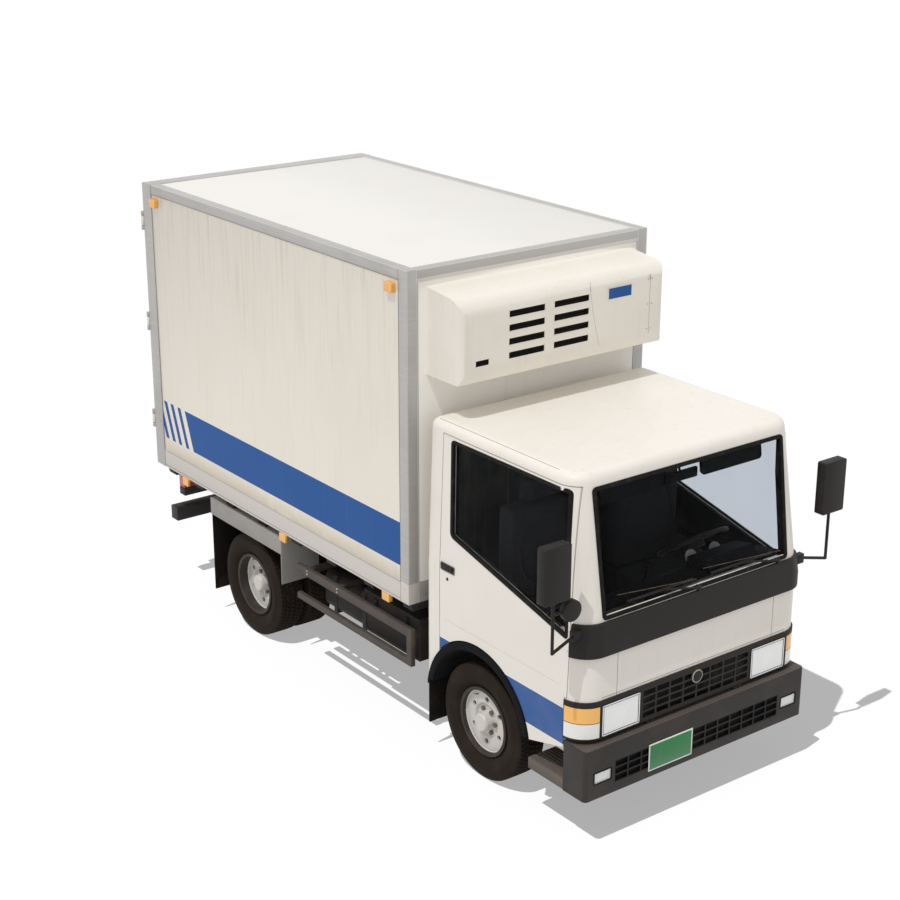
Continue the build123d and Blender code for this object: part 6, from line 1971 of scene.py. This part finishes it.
# ------------------------------------------------------------------ running gear
@dataclass
class Tyres:
    """Six road tyres with four grooves round the tread and notched shoulders."""

    tread_half: float = 85.5
    width_half: float = 102.5
    widest_radius: float = 286.0
    bead_radius: float = 200.3
    bead_half: float = 66.5
    groove_depth: float = 9.0
    groove_half: float = 4.0
    grooves: tuple[float, ...] = (20.0, 52.0)
    ribs: tuple[tuple[float, float], ...] = ((58.0, 82.0), (24.0, 48.0), (-16.0, 16.0))
    steps: int = 216

    def profile(self) -> list[tuple[float, float]]:
        """Works out the section.

        Returns:
            Offset from the middle and radius of each point, as a closed loop.
        """
        top = TYRE_RADIUS
        wall = [
            (self.bead_half, self.bead_radius), (self.bead_half + 6, 222.0), (86.0, 236.0), (88.5, 238.0),
            (96.0, 258.0), (101.0, 274.0), (self.width_half, self.widest_radius), (101.8, 300.0),
            (100.3, 304.0), (98.6, 306.0), (96.0, 322.0), (93.0, 334.0), (89.5, 344.0),
            (self.tread_half, top - 5.0),
        ]
        tread = [(self.tread_half - 4.0, top - 1.5), (self.grooves[1] + 6.0, top - 0.4)]
        for middle in reversed(self.grooves):
            tread += [
                (middle + self.groove_half, top - 0.3),
                (middle + self.groove_half - 1.5, top - self.groove_depth),
                (middle - self.groove_half + 1.5, top - self.groove_depth),
                (middle - self.groove_half, top),
            ]
        half = wall + tread
        return half + [(-offset, radius) for offset, radius in reversed(half)]

    def add(self, bm: bmesh.types.BMesh, centre_x: float, axle_y: float) -> None:
        """Adds one tyre.

        Args:
            bm: The mesh that grows.
            centre_x: The tyre's middle plane.
            axle_y: The axle's place along the truck.
        """
        tyre = bmesh.new()
        points = [(centre_x + offset, axle_y, TYRE_RADIUS + radius) for offset, radius in self.profile()]
        turned(tyre, points, (centre_x, axle_y, TYRE_RADIUS), (1.0, 0.0, 0.0), self.steps)
        self.notch(tyre, centre_x, axle_y)
        loose = bpy.data.meshes.new("tyre")
        tyre.to_mesh(loose)
        tyre.free()
        bm.from_mesh(loose)
        bpy.data.meshes.remove(loose)

    def notch(self, tyre: bmesh.types.BMesh, centre_x: float, axle_y: float) -> None:
        """Presses a pocket into every third face along each rib, as the mould's sipes do."""
        axle = Vector((centre_x, axle_y, TYRE_RADIUS))
        tyre.faces.ensure_lookup_table()
        chosen = []
        for face in tyre.faces:
            middle = face.calc_center_median() - axle
            radius = Vector((0.0, middle.y, middle.z)).length
            if radius < TYRE_RADIUS - 3.5:
                continue
            turn = Vector((middle.y, middle.z)).angle_signed(Vector((1.0, 0.0)))
            step = round(turn / (2 * pi / self.steps))
            rib = next(
                (i for i, (a, b) in enumerate(self.ribs) if a <= abs(middle.x) <= b or a <= middle.x <= b),
                None,
            )
            if rib is not None and (step + rib) % 3 == 0:
                chosen.append(face)
        bmesh.ops.inset_individual(tyre, faces=chosen, thickness=2.2, depth=-5.0, use_even_offset=True)

    def build(self) -> None:
        """Builds the tyres of each axle and side."""
        for side, sign in SIDES:
            front = bmesh.new()
            self.add(front, sign * FRONT_WHEEL_X, FRONT_AXLE_Y)
            make_piece(
                front, f"front_tyre_tread_{side}", f"front_wheel_{side}", TYRE_RUBBER,
                replaced=(f"front_tyre_{side}",),
            )
            rear = bmesh.new()
            for across in REAR_WHEEL_X:
                self.add(rear, sign * across, REAR_AXLE_Y)
            make_piece(
                rear, f"rear_tyre_tread_{side}", f"rear_wheels_{side}", TYRE_RUBBER,
                replaced=(f"rear_tyres_{side}",),
            )


# ------------------------------------------------------------------ studio
@dataclass
class Studio:
    """The camera, the sun, the sky and the floor."""

    camera_place: Point = (-6.5052, -8.5700, 5.3454)
    azimuth: float = radians(-37.165)
    elevation: float = radians(19.895)
    roll: float = radians(0.077)
    lens: float = 71.86
    sun_way: Point = (0.411, 0.080, -0.908)
    sun_strength: float = 1.48
    sun_angle: float = radians(0.5)
    sky_strength: float = 0.66
    floor_half: float = 150.0
    floor_sun_strength: float = 20.0
    floor_colour: float = 0.09
    shadow_seen: float = 0.4
    shadow_bounce: float = 0.05

    def build(self) -> None:
        """Builds the whole studio."""
        self.set_camera()
        self.hang_sun("sun", self.sun_strength)
        floor_sun = self.hang_sun("floor_sun", self.floor_sun_strength)
        self.paint_sky()
        self.lay_floor(floor_sun)
        log.info("studio: camera, sun, sky and floor")

    def set_camera(self) -> None:
        """Places the camera and makes it the scene's."""
        camera = bpy.data.cameras.new("camera")
        camera.lens = self.lens
        camera.sensor_width = 36.0
        camera.clip_end = 500.0
        holder = bpy.data.objects.new("camera", camera)
        back = Vector(
            (
                sin(self.azimuth) * cos(self.elevation),
                -cos(self.azimuth) * cos(self.elevation),
                sin(self.elevation),
            )
        )
        turn = (-back).to_track_quat("-Z", "Y") @ Quaternion((0.0, 0.0, 1.0), self.roll)
        holder.matrix_world = Matrix.Translation(Vector(self.camera_place)) @ turn.to_matrix().to_4x4()
        bpy.context.scene.collection.objects.link(holder)
        bpy.context.scene.camera = holder
        bpy.context.scene.view_settings.view_transform = "Standard"

    def hang_sun(self, name: str, strength: float) -> bpy.types.Object:
        """Hangs a sun high on the truck's right side, and returns it."""
        sun = bpy.data.lights.new(name, "SUN")
        sun.energy = strength
        sun.angle = self.sun_angle
        holder = bpy.data.objects.new(name, sun)
        holder.rotation_euler = Vector(self.sun_way).to_track_quat("-Z", "Y").to_euler()
        bpy.context.scene.collection.objects.link(holder)
        return holder

    def paint_sky(self) -> None:
        """Makes an even sky: white where it is seen or reflected, softer as a light."""
        world = bpy.data.worlds.new("sky")
        bpy.context.scene.world = world
        world.use_nodes = True
        tree = world.node_tree
        level = add_node(tree, "ShaderNodeMapRange", {"Value": seen_rays(tree), "To Min": self.sky_strength})
        tree.links.new(level.outputs[0], tree.nodes["Background"].inputs["Strength"])
        tree.nodes["Background"].inputs["Color"].default_value = (1.0, 1.0, 1.0, 1.0)

    def lay_floor(self, floor_sun: bpy.types.Object) -> None:
        """Lays a pale matt floor that keeps a crisp even shadow.

        Args:
            floor_sun: The sun that lights the floor alone.
        """
        bm = bmesh.new()
        bmesh.ops.create_grid(bm, x_segments=1, y_segments=1, size=self.floor_half)
        mesh = bpy.data.meshes.new("floor")
        bm.to_mesh(mesh)
        bm.free()
        material = bpy.data.materials.new("matt_white_floor")
        material.use_nodes = True
        tree = material.node_tree
        tree.nodes.remove(tree.nodes["Principled BSDF"])
        level = add_node(
            tree,
            "ShaderNodeMapRange",
            {"Value": seen_rays(tree), "To Min": self.shadow_bounce, "To Max": self.shadow_seen},
        )
        glow = add_node(tree, "ShaderNodeEmission", {"Strength": level.outputs[0]})
        grey = (self.floor_colour, self.floor_colour, self.floor_colour, 1.0)
        diffuse = add_node(tree, "ShaderNodeBsdfDiffuse", {"Color": grey})
        both = add_node(tree, "ShaderNodeAddShader", {0: glow.outputs[0], 1: diffuse.outputs[0]})
        tree.links.new(both.outputs[0], tree.nodes["Material Output"].inputs["Surface"])
        mesh.materials.append(material)
        floor = bpy.data.objects.new("floor", mesh)
        bpy.context.scene.collection.objects.link(floor)
        lit = bpy.data.collections.new("lit_by_floor_sun")
        lit.objects.link(floor)
        floor_sun.light_linking.receiver_collection = lit


def seen_rays(tree: bpy.types.NodeTree) -> bpy.types.NodeSocket:
    """Makes a value that is 1 for what the camera sees directly, mirrored or through glass."""
    path = add_node(tree, "ShaderNodeLightPath")
    seen = path.outputs["Is Camera Ray"]
    for kind in ("Is Glossy Ray", "Is Transmission Ray"):
        seen = add_node(
            tree, "ShaderNodeMath", {0: seen, 1: path.outputs[kind]}, operation="MAXIMUM"
        ).outputs[0]
    return seen


def main() -> None:
    """Builds the truck's parts in order, then the studio."""
    logging.basicConfig(level=logging.INFO, format="%(name)s: %(message)s")
    for assembly in (
        Cab(), CabDoors(), CabInterior(), Mirrors(), BoxBody(), RearDoors(),
        CoolingUnit(), Chassis(), Bumper(), Wheels(), Tyres(), Studio(),
    ):
        assembly.build()


if __name__ == "__main__":
    main()
